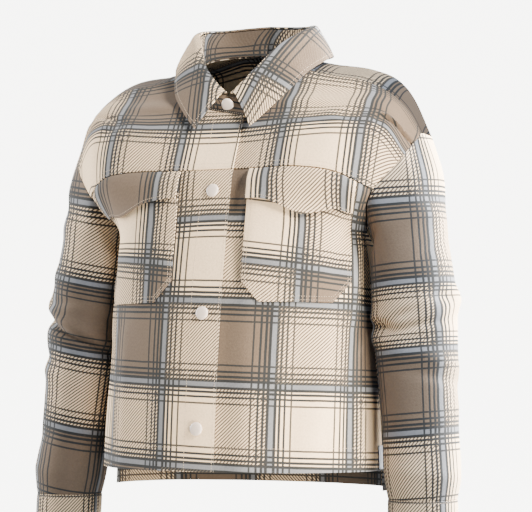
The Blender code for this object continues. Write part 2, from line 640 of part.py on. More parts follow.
def pocket_and_flap(side, front, front_normals, collection):
    """The patch pocket, from the front's own points, and the flap over its mouth."""
    rows = [i for i, h in enumerate(LOWER_ROWS) if POCKET_BOTTOM <= h <= POCKET_TOP]
    first = len(EDGE_COLUMNS)
    columns = slice(first, first + len(POCKET_COLUMNS))
    grid = front[rows[0] : rows[-1] + 1, columns]
    normals = front_normals[rows[0] : rows[-1] + 1, columns]
    flap = []
    for share in FLAP_ROWS:
        heights = [FRONT_YOKE - FLAP_TOP - (depth - FLAP_TOP) * share for depth in FLAP_DEPTHS]
        across = [FRONT.across_at(u, h) for u, h in zip(POCKET_COLUMNS, heights)]
        flap.append(FRONT.points(np.array(across), np.array(heights)))
    flap = np.array(flap)
    if side == "left":
        flap = underlapped(flap)
    flap_normals = grid_normals(flap)
    if side == "right":
        grid, flap = settle(mirrored(grid)), settle(mirrored(flap))
        normals, flap_normals = mirrored(normals), mirrored(flap_normals)
    panel_plate("pocket_" + side, grid, normals, POCKET_LIFT, POCKET_WALL, "flannel", collection, True)
    panel_plate("flap_" + side, flap, flap_normals, FLAP_LIFTS, FLAP_WALL, "flannel_light", collection)


def shacket():
    """Builds every piece."""
    for thing in list(bpy.data.objects):
        bpy.data.objects.remove(thing, do_unlink=True)
    collection = bpy.data.collections.new("shacket")
    bpy.context.scene.collection.children.link(collection)

    pieces = {name: settle(grid) for name, grid in body_pieces().items()}
    front_half = grid_of(FRONT, [front_columns(h) for h in LOWER_ROWS], LOWER_ROWS)
    back_yoke_half = grid_of(BACK, YOKE_COLUMNS, BACK_YOKE_ROWS)
    front_yoke_half = grid_of(FRONT, YOKE_COLUMNS, FRONT_YOKE_ROWS)

    under, shares = neckline(underlapped(front_yoke_half), back_yoke_half)
    over, _ = neckline(front_yoke_half, back_yoke_half)
    stand = np.concatenate(
        [stand_half(under, shares, UNDERLAP_STEP), mirrored(stand_half(over, shares, 0.0))[:, 1:]], axis=1
    )
    sleeves = {side: sleeve_grid(side) for side in ("left", "right")}
    sleeves["right"] = settle(mirrored(sleeves["right"]))
    stand = settle(stand)
    cuffs = {"left": cuff_grid("left"), "right": mirrored(cuff_grid("right"))}

    with_normals = {name: (grid, grid_normals(grid)) for name, grid in pieces.items()}
    back_halves = {"yoke_back_left": back_yoke_half[:, ::-1], "yoke_back_right": back_yoke_half * MIRROR}
    for name, half in back_halves.items():
        with_normals[name] = (settle(half), grid_normals(settle(half)))
    with_normals["collar_stand"] = (stand, grid_normals(stand))
    for side in ("left", "right"):
        with_normals["sleeve_" + side] = (sleeves[side], grid_normals(sleeves[side], closed=True))
    shared = share_seams(with_normals)

    for name, grid in pieces.items():
        inset = pull_in(grid, SEAM_GAP / 2)
        wall(name, inset, inset - shared[name] * CLOTH, "flannel", collection)
    skins = []
    for name in back_halves:
        grid = with_normals[name][0]
        free = "LBT" if name.endswith("left") else "RBT"
        inset = pull_in(grid, SEAM_GAP / 2, free)
        neck = slice(BACK_NECK_ROW, None)
        inner_edge = -1 if name.endswith("left") else 0
        inset[neck, inner_edge] = pull_in(grid, SEAM_GAP / 2)[neck, inner_edge]
        skins.append((inset, inset - shared[name] * CLOTH))
    outer, inner = (np.concatenate([skins[0][k], skins[1][k]], axis=1) for k in (0, 1))
    wall("yoke_back", outer, inner, "flannel", collection, back_yoke_polygons())
    inset = pull_in(stand, SEAM_GAP / 2, "B")
    wall("collar_stand", inset, inset - shared["collar_stand"] * CLOTH, "flannel_light", collection)
    half = fall_half(shares)
    fall = settle(np.concatenate([half, mirrored(half)[:, 1:]], axis=1))
    wall("collar_fall", fall, fall - grid_normals(fall) * COLLAR_WALL, "flannel_light", collection)

    for side in ("left", "right"):
        grid, normals = sleeves[side], shared["sleeve_" + side]
        wall("sleeve_" + side, grid, grid - normals * CLOTH, "flannel", collection, closed=True)
        grid = cuffs[side]
        flat = grid_normals(grid, closed=True)
        wall("cuff_" + side, grid, grid - flat * CLOTH, "flannel_light", collection, closed=True)
        own = underlapped(front_half) if side == "left" else front_half
        pocket_and_flap(side, own, grid_normals(own), collection)

    centre = FRONT.across_at(LAP, FRONT_YOKE)
    for number, height in enumerate(BUTTON_HEIGHTS, 2):
        place = FRONT.points(np.array([centre]), np.array([height]))[0]
        slope = FRONT.points(np.array([centre, centre]), np.array([height - 0.01, height + 0.01]))
        rise = slope[1] - slope[0]
        button("snap_%d" % number, place, np.array([0.0, -rise[2], rise[1]]), collection)
    end = stand[:, ::-1]
    at_centre = [[np.interp(0.0, -end[row, :4, 0], end[row, :4, k]) for k in range(3)] for row in (0, 2)]
    foot, top = np.array(at_centre)
    rise = top - foot
    place = foot + rise * STAND_BUTTON_SHARE - np.array([0.0, STAND_BUTTON_LIFT, 0.0])
    button("snap_1", place, np.array([0.0, -rise[2], rise[1]]), collection)

    cell = front_half[0:2, -2:]
    corners = []
    for v in (LABEL_LOW, LABEL_HIGH):
        low, high = cell[0] * (1 - v) + cell[1] * v
        corners.append([low * (1 - u) + high * u for u in (LABEL_INNER, LABEL_OUTER)])
    patch = np.array(corners)
    panel_plate("label", patch, grid_normals(patch), SEAM_GAP, LABEL_WALL, "label", collection)


shacket()
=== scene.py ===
# %% [markdown] A cropped plaid shacket, dressed over its solids. The solids already hold the garment's
# cut and size. This script gives each cloth piece a thin shell that follows the same form, with its
# creases, its woven plaid and its sewing.

import math

import bmesh
import bpy
import numpy as np
from mathutils import Matrix, Vector


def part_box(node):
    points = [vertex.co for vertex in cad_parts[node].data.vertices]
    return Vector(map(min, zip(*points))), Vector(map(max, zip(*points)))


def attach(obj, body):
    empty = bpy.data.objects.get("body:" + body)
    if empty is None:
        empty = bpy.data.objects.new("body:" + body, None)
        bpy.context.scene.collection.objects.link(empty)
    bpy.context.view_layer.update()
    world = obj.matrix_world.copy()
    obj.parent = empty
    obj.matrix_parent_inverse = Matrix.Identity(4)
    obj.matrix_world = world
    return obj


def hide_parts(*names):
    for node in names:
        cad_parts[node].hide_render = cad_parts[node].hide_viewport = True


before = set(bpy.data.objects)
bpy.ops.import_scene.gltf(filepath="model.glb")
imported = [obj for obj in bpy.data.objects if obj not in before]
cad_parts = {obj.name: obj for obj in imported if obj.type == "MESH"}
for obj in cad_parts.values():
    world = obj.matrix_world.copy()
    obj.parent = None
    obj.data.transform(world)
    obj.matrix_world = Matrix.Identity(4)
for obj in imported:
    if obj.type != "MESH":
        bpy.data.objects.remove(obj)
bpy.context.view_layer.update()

# %% [markdown]
# The camera stands where the photographer stood: at the height of the elbows, a little to the
# wearer's left. A long lens from 3 m away hardly bends the outline, as a short one close by would.
# `in_view` gives a place as the viewer sees it, which is handier for lamps than the garment's own axes.

# %% Camera
VIEW_TURN = math.radians(27.0)
VIEW_DISTANCE, VIEW_HEIGHT = 3.0, -0.398
LOOK_ACROSS, LOOK_HEIGHT = 0.028, -0.266
LENS, SENSOR = 145.0, 36.0  # in millimetres
ACROSS_VIEW = Vector((math.cos(VIEW_TURN), math.sin(VIEW_TURN), 0.0))
TOWARDS_VIEWER = Vector((math.sin(VIEW_TURN), -math.cos(VIEW_TURN), 0.0))


def in_view(across, near, up):
    """A place that far across the view, towards the viewer and up."""
    return ACROSS_VIEW * across + TOWARDS_VIEWER * near + Vector((0, 0, up))


def aim(thing, target):
    """Turns a camera or a lamp to a place."""
    thing.rotation_euler = (target - thing.location).to_track_quat("-Z", "Y").to_euler()


camera = bpy.data.objects.new("camera", bpy.data.cameras.new("camera"))
bpy.context.scene.collection.objects.link(camera)
camera.data.lens = LENS
camera.data.sensor_width = SENSOR
camera.location = in_view(0, VIEW_DISTANCE, VIEW_HEIGHT)
aim(camera, in_view(LOOK_ACROSS, 0, LOOK_HEIGHT))
bpy.context.scene.camera = camera
print("camera at", tuple(round(v, 3) for v in camera.location))

# %% [markdown]
# Behind the garment stands a sheet of paper that glows, and a pale floor lies far below. A white wall
# lit by lamps would do as well, but their light would fall on the garment too. The glow itself is kept
# off the cloth by light linking, or it would draw a pale line round the outline.

# %% Backdrop
PAPER_COLOUR = (0.86, 0.855, 0.845, 1.0)
GLOW_COLOUR = (1.0, 0.985, 0.93, 1.0)
PAPER_GLOW = 6.6            # so that the paper shows nearly white
PAPER_SIZE, PAPER_BEHIND, PAPER_Z = 8.6, 6.6, -0.3
FLOOR_SIZE, FLOOR_Z = 16.0, -2.05


def paper(name, glow):
    """Pale matt paper, lit by itself where glow is more than 0."""
    made = bpy.data.materials.new(name)
    made.use_nodes = True
    shader = made.node_tree.nodes["Principled BSDF"]
    shader.inputs["Base Color"].default_value = PAPER_COLOUR
    shader.inputs["Roughness"].default_value = 0.95
    shader.inputs["Emission Color"].default_value = GLOW_COLOUR
    shader.inputs["Emission Strength"].default_value = glow
    return made


def backdrop(name, size, place, tilt, glow):
    """A square sheet, tilted up by that many degrees, behind or under the garment."""
    bm = bmesh.new()
    bmesh.ops.create_grid(bm, x_segments=1, y_segments=1, size=size / 2)
    bmesh.ops.rotate(bm, verts=bm.verts, matrix=Matrix.Rotation(math.radians(tilt), 3, "X"))
    bmesh.ops.translate(bm, verts=bm.verts, vec=place)
    bmesh.ops.rotate(bm, verts=bm.verts, matrix=Matrix.Rotation(VIEW_TURN, 3, "Z"))
    mesh = bpy.data.meshes.new(name)
    bm.to_mesh(mesh)
    bm.free()
    mesh.materials.append(paper(name, glow))
    sheet = bpy.data.objects.new(name, mesh)
    bpy.context.scene.collection.objects.link(sheet)
    return sheet


lit_paper = backdrop("lit_paper", PAPER_SIZE, (0, PAPER_BEHIND, PAPER_Z), 90, PAPER_GLOW)
floor = backdrop("floor", FLOOR_SIZE, (0, 0, FLOOR_Z), 0, 0.0)
lit_by_paper = bpy.data.collections.new("lit by the paper")
lit_by_paper.objects.link(floor)
lit_paper.light_linking.receiver_collection = lit_by_paper
print("paper glows at", PAPER_GLOW)

# %% [markdown]
# Soft studio light comes from large area lights. The strongest stands at the viewer's right and a
# little behind, so that it brightens the edge of that sleeve. Warm lamps fill the body, a cool one
# fills the sleeves, and one behind the garment shows its back. A photographer puts cards between a
# lamp and what it should not reach. Light linking does the same: a lamp that has a receiver
# collection lights only the pieces in it, which is easier to keep than many cards.

# %% Lights
WARM, WHITE, COOL = (1.0, 0.945, 0.85), (1.0, 1.0, 1.0), (0.86, 0.94, 1.08)
ON_BODY = ("front", "pocket", "flap", "collar", "snap", "label")
ON_SLEEVES = ("sleeve", "cuff")
LIGHTS = (
    # name, place (across the view, towards the viewer, up), width, watts, colour, and the pieces that
    # it reaches, by the start of their names (all of them where there is none)
    ("front", (1.65, 1.65, 1.30), 0.55, 278.0, WARM, ON_BODY + ("yoke_front",)),
    ("low", (0.6, 1.0, -0.75), 0.4, 56.0, WARM, ON_BODY + ("yoke_front", "back")),
    ("sleeves", (1.1, 0.8, 1.25), 0.6, 66.0, COOL, None),
    ("right_edge", (1.7, -0.30, 0.45), 1.1, 520.0, WHITE, ON_BODY + ON_SLEEVES),
    ("left_edge", (-1.7, -0.6, 0.4), 1.1, 112.0, WHITE, None),
    ("arms", (0.35, 1.1, 0.75), 0.5, 26.0, COOL, ON_SLEEVES),
    ("rear", (-0.3, -2.2, 0.35), 1.0, 95.0, WHITE, ("back", "yoke_back")),
)
LAMP_AIM = Vector((0, 0, -0.3))
ROOM_COLOUR, ROOM_STRENGTH = (0.78, 0.94, 1.14, 1.0), 0.40
RECEIVERS = []


def studio_light(name, place, width, watts, colour, reaches):
    """A square soft light that faces the garment."""
    light = bpy.data.lights.new(name, "AREA")
    light.size = width
    light.energy = watts
    light.color = colour
    lamp = bpy.data.objects.new(name, light)
    lamp.location = in_view(*place) + LAMP_AIM
    aim(lamp, LAMP_AIM)
    bpy.context.scene.collection.objects.link(lamp)
    if reaches:
        receivers = bpy.data.collections.new("lit by " + name)
        lamp.light_linking.receiver_collection = receivers
        RECEIVERS.append((receivers, reaches))


def put_in_light(piece):
    """Puts a piece in the light of the lamps that reach it."""
    for receivers, starts in RECEIVERS:
        if piece.name.startswith(starts):
            receivers.objects.link(piece)


for row in LIGHTS:
    studio_light(*row)
world = bpy.data.worlds.new("studio")
world.use_nodes = True
world.node_tree.nodes["Background"].inputs["Color"].default_value = ROOM_COLOUR
world.node_tree.nodes["Background"].inputs["Strength"].default_value = ROOM_STRENGTH
bpy.context.scene.world = world
print("lights:", [row[0] for row in LIGHTS])

# %% [markdown]
# ## The garment's form
#
# A cloth piece is easiest to place when every spot on it has an address. Each half of the front and of
# the back is a surface with two of them: `across` runs from 0 at the front edge to 1 at the side, and
# `height` is measured up the cloth from the hem. A few sections at known heights give the shape, and a
# smooth curve joins them. Everything that lies on the body, from pockets to stitches, asks this same
# surface where it belongs, so it follows the body without being pushed about by hand.

# %% Sizes of the cut
HEM_Z = -0.560              # heights from the origin between the shoulders, in metres
BACK_HEM_Z = -0.588
VENT_TOP_Z = -0.500
CUFF_SEAM_Z = -0.603
CUFF_LENGTH = 0.058
LAP = 0.027                 # the fronts overlap by this much on each side of the centre
UNDERLAP_STEP = 0.0042      # how far the under front sits behind
LAP_END, LAP_FADE = 0.070, 0.040
SEAM_GAP = 0.0003
CLOTH = 0.0020              # thickness of the flannel
# Heights up the cloth from the front hem.
ARMPIT = 0.340
FRONT_NECK, FRONT_YOKE, FRONT_TOP_END = 0.496, 0.413, 0.587
BACK_NECK, BACK_YOKE, BACK_TOP_END, BACK_HEM = 0.586, 0.460, 0.675, -0.028
CORNER_REACH = 0.16
ACROSS_KNOTS = np.array((0.0, 0.095, 0.305, 0.53, 0.74, 0.885, 1.0))
FRONT_ANGLES = (0.0, 20.0, 42.0, 63.0, 77.0, 90.0)
BACK_ANGLES = (0.0, 6.0, 22.0, 42.0, 63.0, 77.0, 90.0)

# Sections below the arm: a quarter of a rounded oval, from the centre to the side seam.
FRONT_BODY = (
    # cloth height, half width, centre depth, centre z, side z, side y, squareness
    (0.000, 0.2080, 0.150, HEM_Z, HEM_Z, 0.000, 2.15),
    (0.060, 0.2055, 0.146, VENT_TOP_Z, VENT_TOP_Z, 0.000, 2.15),
    (0.140, 0.1985, 0.139, -0.422, -0.422, 0.000, 2.20),
    (0.215, 0.1925, 0.130, -0.347, -0.349, 0.000, 2.30),
    (0.295, 0.1850, 0.117, -0.266, -0.273, 0.003, 2.60),
    (0.340, 0.1800, 0.108, -0.222, -0.236, 0.006, 2.90),
)
BACK_BODY = (
    (-0.028, 0.2092, 0.138, BACK_HEM_Z, BACK_HEM_Z, 0.000, 2.30),
    (0.060, 0.2055, 0.135, VENT_TOP_Z, VENT_TOP_Z, 0.000, 2.30),
    (0.140, 0.1985, 0.131, -0.422, -0.422, 0.000, 2.30),
    (0.215, 0.1925, 0.128, -0.347, -0.349, 0.000, 2.35),
    (0.295, 0.1850, 0.125, -0.266, -0.273, 0.003, 2.60),
    (0.340, 0.1800, 0.123, -0.222, -0.236, 0.006, 2.90),
)
# The seam over the shoulder, neck to armhole, shared by the front and the back.
SHOULDER_SEAM = ((0.072, -0.002, -0.002), (0.092, -0.005, -0.008), (0.139, -0.008, -0.020),
                 (0.188, -0.008, -0.031), (0.229, -0.004, -0.054), (0.2515, -0.001, -0.079),
                 (0.264, 0.003, -0.104))
# Sections above the arm: cloth height, then x, y, z from the front edge or neckline to the armhole.
FRONT_TOP = (
    (0.413, (-LAP, -0.0925, -0.1510), (0.000, -0.0925, -0.1510), (0.060, -0.0930, -0.1510),
     (0.125, -0.0920, -0.1510), (0.178, -0.0830, -0.1600), (0.2070, -0.0670, -0.1760),
     (0.2165, -0.0540, -0.1840)),
    (0.457, (-LAP, -0.0755, -0.1110), (0.000, -0.0755, -0.1110), (0.060, -0.0765, -0.1095),
     (0.122, -0.0770, -0.1050), (0.180, -0.0680, -0.1050), (0.2230, -0.0480, -0.1120),
     (0.2480, -0.0360, -0.1450)),
    (0.496, (-LAP, -0.0600, -0.0755), (0.000, -0.0600, -0.0755), (0.058, -0.0605, -0.0755),
     (0.117, -0.0590, -0.0755), (0.178, -0.0510, -0.0770), (0.2290, -0.0350, -0.0870),
     (0.2550, -0.0220, -0.1290)),
    (0.519, (0.038, -0.0520, -0.0620), (0.060, -0.0525, -0.0600), (0.109, -0.0500, -0.0590),
     (0.158, -0.0430, -0.0620), (0.206, -0.0340, -0.0640), (0.2320, -0.0270, -0.0770),
     (0.2580, -0.0120, -0.1200)),
    (0.551, (0.061, -0.0320, -0.0360), (0.081, -0.0320, -0.0390), (0.126, -0.0300, -0.0430),
     (0.173, -0.0260, -0.0490), (0.212, -0.0200, -0.0530), (0.2370, -0.0130, -0.0710),
     (0.2615, -0.0040, -0.1120)),
    (0.587,) + SHOULDER_SEAM,
)
BACK_TOP = (
    (0.404, (0.0, 0.1210, -0.158), (0.022, 0.1210, -0.158), (0.070, 0.1205, -0.158),
     (0.124, 0.1170, -0.158), (0.176, 0.1040, -0.161), (0.2070, 0.0870, -0.167),
     (0.2200, 0.0740, -0.168)),
    (0.460, (0.0, 0.1150, -0.104), (0.025, 0.1150, -0.104), (0.080, 0.1145, -0.104),
     (0.138, 0.1090, -0.104), (0.190, 0.0990, -0.1075), (0.2230, 0.0850, -0.118),
     (0.2440, 0.0700, -0.136)),
    (0.520, (0.0, 0.0980, -0.042), (0.028, 0.0980, -0.042), (0.088, 0.0975, -0.0430),
     (0.150, 0.0930, -0.0480), (0.202, 0.0790, -0.0620), (0.2340, 0.0680, -0.0830),
     (0.2580, 0.0570, -0.1190)),
    (0.586, (0.0, 0.0670, 0.0215), (0.030, 0.0695, 0.0200), (0.092, 0.0725, 0.0070),
     (0.155, 0.0690, -0.0050), (0.207, 0.0590, -0.0260), (0.2380, 0.0510, -0.0580),
     (0.2650, 0.0420, -0.1110)),
    (0.618, (0.052, 0.0500, 0.0190), (0.078, 0.0500, 0.0120), (0.128, 0.0500, 0.0000),
     (0.178, 0.0460, -0.0095), (0.2210, 0.0390, -0.0310), (0.2440, 0.0340, -0.0600),
     (0.2680, 0.0290, -0.1070)),
    (0.647, (0.072, 0.0240, 0.0110), (0.094, 0.0230, 0.0045), (0.140, 0.0220, -0.0080),
     (0.186, 0.0200, -0.0170), (0.2250, 0.0175, -0.0400), (0.2470, 0.0165, -0.0670),
     (0.2675, 0.0150, -0.1060)),
    (0.675,) + SHOULDER_SEAM,
)
print("sections: front", len(FRONT_BODY) + len(FRONT_TOP), "back", len(BACK_BODY) + len(BACK_TOP))

# %% Smooth curves
def ease(t):
    """A smooth step from 0 to 1."""
    t = np.clip(t, 0, 1)
    return 3 * t**2 - 2 * t**3


def hermite(knots, values, places, corners=(), own=False):
    """Values on a smooth curve through values at knots. own: values hold a column for each place."""
    knots = np.asarray(knots, float)
    values = np.asarray(values, float)
    places = np.clip(np.asarray(places, float), knots[0], knots[-1])
    gaps = np.diff(knots)
    slopes = np.diff(values, axis=0) / gaps.reshape((-1,) + (1,) * (values.ndim - 1))
    arriving = np.empty_like(values)
    arriving[0], arriving[-1] = slopes[0], slopes[-1]
    share = (gaps[:-1] / (gaps[:-1] + gaps[1:])).reshape((-1,) + (1,) * (values.ndim - 1))
    arriving[1:-1] = slopes[:-1] * (1 - share) + slopes[1:] * share
    leaving = arriving.copy()
    for row, amount in corners:
        amount = np.asarray(amount)[..., None]
        arriving[row] += (slopes[row - 1] - arriving[row]) * amount
        leaving[row] += (slopes[row] - leaving[row]) * amount
    cell = np.clip(np.searchsorted(knots, places, side="right") - 1, 0, len(gaps) - 1)
    column = (np.arange(len(places)),) if own else ()
    shape = places.shape + (1,) * (values.ndim - 1 - len(column))
    width = gaps[cell].reshape(shape)
    t = (places - knots[cell]).reshape(shape) / width
    first, second = (cell,) + column, (cell + 1,) + column
    return (
        (2 * t**3 - 3 * t**2 + 1) * values[first]
        + (t**3 - 2 * t**2 + t) * width * leaving[first]
        + (3 * t**2 - 2 * t**3) * values[second]
        + (t**3 - t**2) * width * arriving[second]
    )


print("halfway up a smooth step:", float(ease(0.5)))

# %% Half of a body
def body_section(row, angles, facing, start_x):
    """Points of a quarter oval from the centre line to the side seam. facing is -1 for the front."""
    _, half_width, depth, centre_z, side_z, side_y, square = row
    points = []
    for angle in angles:
        s, c = math.sin(math.radians(angle)), math.cos(math.radians(angle))
        share = s ** (2 / square)
        y = side_y + (facing * depth - side_y) * max(c, 0.0) ** (2 / square)
        points.append((half_width * share, y, centre_z + (side_z - centre_z) * share**2))
    if start_x < 0:
        share = (1 - (-start_x / half_width) ** square) ** (1 / square)
        points.insert(0, (start_x, side_y + (facing * depth - side_y) * share, centre_z))
    return points


class HalfBody:
    """Half of the front or of the back as a smooth surface."""

    def __init__(self, body, top, angles, facing, start_x, neck):
        self.heights = np.array([r[0] for r in body] + [r[0] for r in top])
        rows = [body_section(r, angles, facing, start_x) for r in body] + [r[1:] for r in top]
        self.rows = np.array(rows, float)
        gaps = np.linalg.norm(np.diff(self.rows, axis=1), axis=2)
        self.lengths = np.concatenate([np.zeros((len(rows), 1)), np.cumsum(gaps, axis=1)], axis=1)
        self.armpit_row = len(body) - 1
        self.neck_row = int(np.abs(self.heights - neck).argmin())

    def points(self, across, height):
        """Points for two 1-D arrays of one length."""
        along = hermite(ACROSS_KNOTS, self.rows.transpose(1, 0, 2), across).transpose(1, 0, 2)
        inner = np.maximum(0.0, 1 - across / CORNER_REACH)
        outer = np.maximum(0.0, 1 - (1 - across) / CORNER_REACH)
        corners = ((self.armpit_row, outer), (self.neck_row, inner))
        return hermite(self.heights, along, height, corners, own=True)

    def distance(self, across, height):
        """How far along the cloth each point is from the front edge."""
        lengths = hermite(self.heights, self.lengths, height)
        cell = np.clip(np.searchsorted(ACROSS_KNOTS, across, side="right") - 1, 0, 5)
        share = (across - ACROSS_KNOTS[cell]) / (ACROSS_KNOTS[cell + 1] - ACROSS_KNOTS[cell])
        each = np.arange(len(across))
        return lengths[each, cell] * (1 - share) + lengths[each, cell + 1] * share

    def across_at(self, distance, height):
        """The across value of each point that is this far along the cloth."""
        lengths = hermite(self.heights, self.lengths, height)
        return np.array([np.interp(d, row, ACROSS_KNOTS) for d, row in zip(distance, lengths)])


FRONT = HalfBody(FRONT_BODY, FRONT_TOP, FRONT_ANGLES, -1, -LAP, FRONT_NECK)
BACK = HalfBody(BACK_BODY, BACK_TOP, BACK_ANGLES, 1, 0.0, BACK_NECK)
print("half chest along the cloth:", round(float(FRONT.distance(np.ones(1), np.full(1, ARMPIT))[0]), 3))

# %% [markdown]
# No garment hangs evenly. One shoulder sits a little higher, and the collar leans to it. `settle`
# moves any set of points in that way, and every piece passes through it, so they stay together.
# `underlap` sets the left front back by the thickness of the right one along the centre.

# %% Settling
SHOULDER_OUT, SHOULDER_UP = 0.0050, 0.0055
COLLAR_LEAN, COLLAR_UP = 0.0030, 0.0030
MIRROR = np.array([-1.0, 1.0, 1.0])


def settle(points):
    """Points after the garment has settled on its shoulders."""
    out = points.copy()
    x, z = points[..., 0], points[..., 2]
    shoulder = ease((-x - 0.10) / 0.10) * ease((z + 0.24) / 0.12)
    collar = ease((z + 0.03) / 0.06) * ease((0.11 - np.abs(x)) / 0.04 + 1) * ease((0.06 - x) / 0.10)
    out[..., 0] -= shoulder * SHOULDER_OUT + collar * COLLAR_LEAN
    out[..., 2] += shoulder * SHOULDER_UP + collar * COLLAR_UP
    return out


def underlap(points):
    """The left front, set in under the right one along the centre."""
    out = points.copy()
    fade = ease((LAP_END - points[..., 0]) / LAP_FADE)
    out[..., 1] += UNDERLAP_STEP * fade
    return out


print("the under front is set back by", UNDERLAP_STEP * 1000, "mm")

# %% [markdown]
# Creases are placed one by one. Each is a short line on the cloth, with its ends in metres from the front
# edge and up from the hem, how far it lifts the cloth, and how wide it is. A bell curve across the line
# and a fade at its ends give a soft ridge, or a valley where the height is negative. Pairs of a ridge
# and a valley look more like cloth than either alone.

# %% Table of creases
CREASES = {
    # from u, h, to u, h, height, half width
    "front_left": (
        (0.243, 0.395, 0.205, 0.270, -0.0040, 0.011), (0.262, 0.350, 0.236, 0.210, 0.0040, 0.013),
        (0.205, 0.215, 0.190, 0.010, 0.0030, 0.016), (0.160, 0.190, 0.150, -0.02, -0.0028, 0.016),
        (0.245, 0.190, 0.235, -0.02, -0.0035, 0.013), (0.105, 0.150, 0.100, -0.02, 0.0022, 0.018),
        (0.060, 0.330, 0.075, 0.230, -0.0016, 0.010),
    ),
    "front_right": (
        (0.250, 0.395, 0.215, 0.260, -0.0042, 0.012), (0.262, 0.330, 0.240, 0.190, 0.0038, 0.014),
        (0.215, 0.200, 0.205, -0.02, -0.0030, 0.016), (0.165, 0.185, 0.160, -0.02, 0.0028, 0.017),
        (0.115, 0.140, 0.110, -0.02, -0.0020, 0.016), (0.070, 0.330, 0.078, 0.240, -0.0015, 0.010),
    ),
    "back": (
        (0.206, 0.400, 0.178, 0.250, -0.0030, 0.013), (0.176, 0.420, 0.150, 0.290, 0.0022, 0.014),
        (0.228, 0.200, 0.222, -0.02, -0.0026, 0.014), (0.178, 0.190, 0.170, -0.02, 0.0024, 0.017),
        (0.118, 0.170, 0.112, -0.02, -0.0022, 0.018), (0.052, 0.330, 0.046, 0.060, 0.0018, 0.020),
    ),
    "yoke_left": (
        (0.248, 0.570, 0.262, 0.470, -0.0042, 0.0075), (0.232, 0.560, 0.246, 0.480, 0.0034, 0.010),
        (0.180, 0.500, 0.235, 0.455, 0.0020, 0.012),
    ),
    "yoke_right": (
        (0.222, 0.560, 0.236, 0.430, 0.0024, 0.014), (0.190, 0.520, 0.232, 0.450, -0.0022, 0.011),
    ),
}


print("creases:", {name: len(rows) for name, rows in CREASES.items()})

# %% Creases and the front's surface
NORMAL_STEP = 0.002         # how far apart two points are that give a surface its direction
TUCK = 0.0007               # how far the cloth dips beside a seam
TUCK_WIDTH = 0.0035
SEAM_FADE = 0.03            # creases run out over this distance from a seam


def crease_height(name, u, h):
    """How far the creases of that piece lift the cloth at each (u, h)."""
    total = np.zeros(len(u))
    for u1, h1, u2, h2, height, width in CREASES[name]:
        run_u, run_h = u2 - u1, h2 - h1
        share = ((u - u1) * run_u + (h - h1) * run_h) / (run_u**2 + run_h**2)
        near = np.clip(share, 0, 1)
        away = np.hypot(u - u1 - near * run_u, h - h1 - near * run_h)
        total += height * np.exp(-((away / width) ** 2)) * ease(1.15 - np.abs(share - 0.5) * 1.3)
    return total


def front_place(side, across, height):
    """The plain surface of one front, before its creases."""
    points = FRONT.points(across, height)
    points = underlap(points) if side == "left" else points * MIRROR
    return settle(points)


def facing_of(place, across, height, outward):
    """Unit normals of a surface, from points a little way along and up it."""
    step = NORMAL_STEP
    along = place(np.minimum(across + step, 1), height) - place(np.maximum(across - step, 0), height)
    up = place(across, height + step) - place(across, height - step)
    normal = np.cross(along, up) * outward
    return normal / np.maximum(np.linalg.norm(normal, axis=1, keepdims=True), 1e-12)


def front_points(side, across, height, lift=0.0):
    """Points on one front, moved out by lift, with its creases and the tuck of the chest seam."""
    shape = across.shape
    across, height = across.ravel(), height.ravel()

    def place(a, h):
        return front_place(side, a, h)

    normal = facing_of(place, across, height, 1 if side == "left" else -1)
    rise = np.broadcast_to(np.asarray(lift, float), shape).ravel().copy()
    u = FRONT.distance(across, height)
    above = height > FRONT_YOKE
    low = crease_height("front_" + side, u, height)
    high = crease_height("yoke_" + side, u, height)
    rise += np.where(above, high, low) * ease(np.abs(height - FRONT_YOKE) / SEAM_FADE)
    rise -= TUCK * np.exp(-(((height - FRONT_YOKE) / TUCK_WIDTH) ** 2)) * ~above
    points = place(across, height) + normal * rise[:, None]
    return points.reshape(shape + (3,))


spot = front_points("left", np.full((1, 1), 0.3), np.full((1, 1), 0.2))[0, 0]
print("a point on the left front:", np.round(spot, 3))

# %% [markdown]
# ## The plaid
#
# A woven check is two sets of stripes, one along the cloth and one across it. Both sets repeat the
# same order here: a cream block, then a tan one, with a pale blue-grey band where they meet and dark
# lines on both sides of it. Where cream crosses tan, the yarns show as a fine slanting hatch, because
# a twill weave lets each of them over in turn. A painted picture could show that too, but it would
# blur up close. Here all of it is arithmetic on the UV map, so the check stays sharp at any distance.

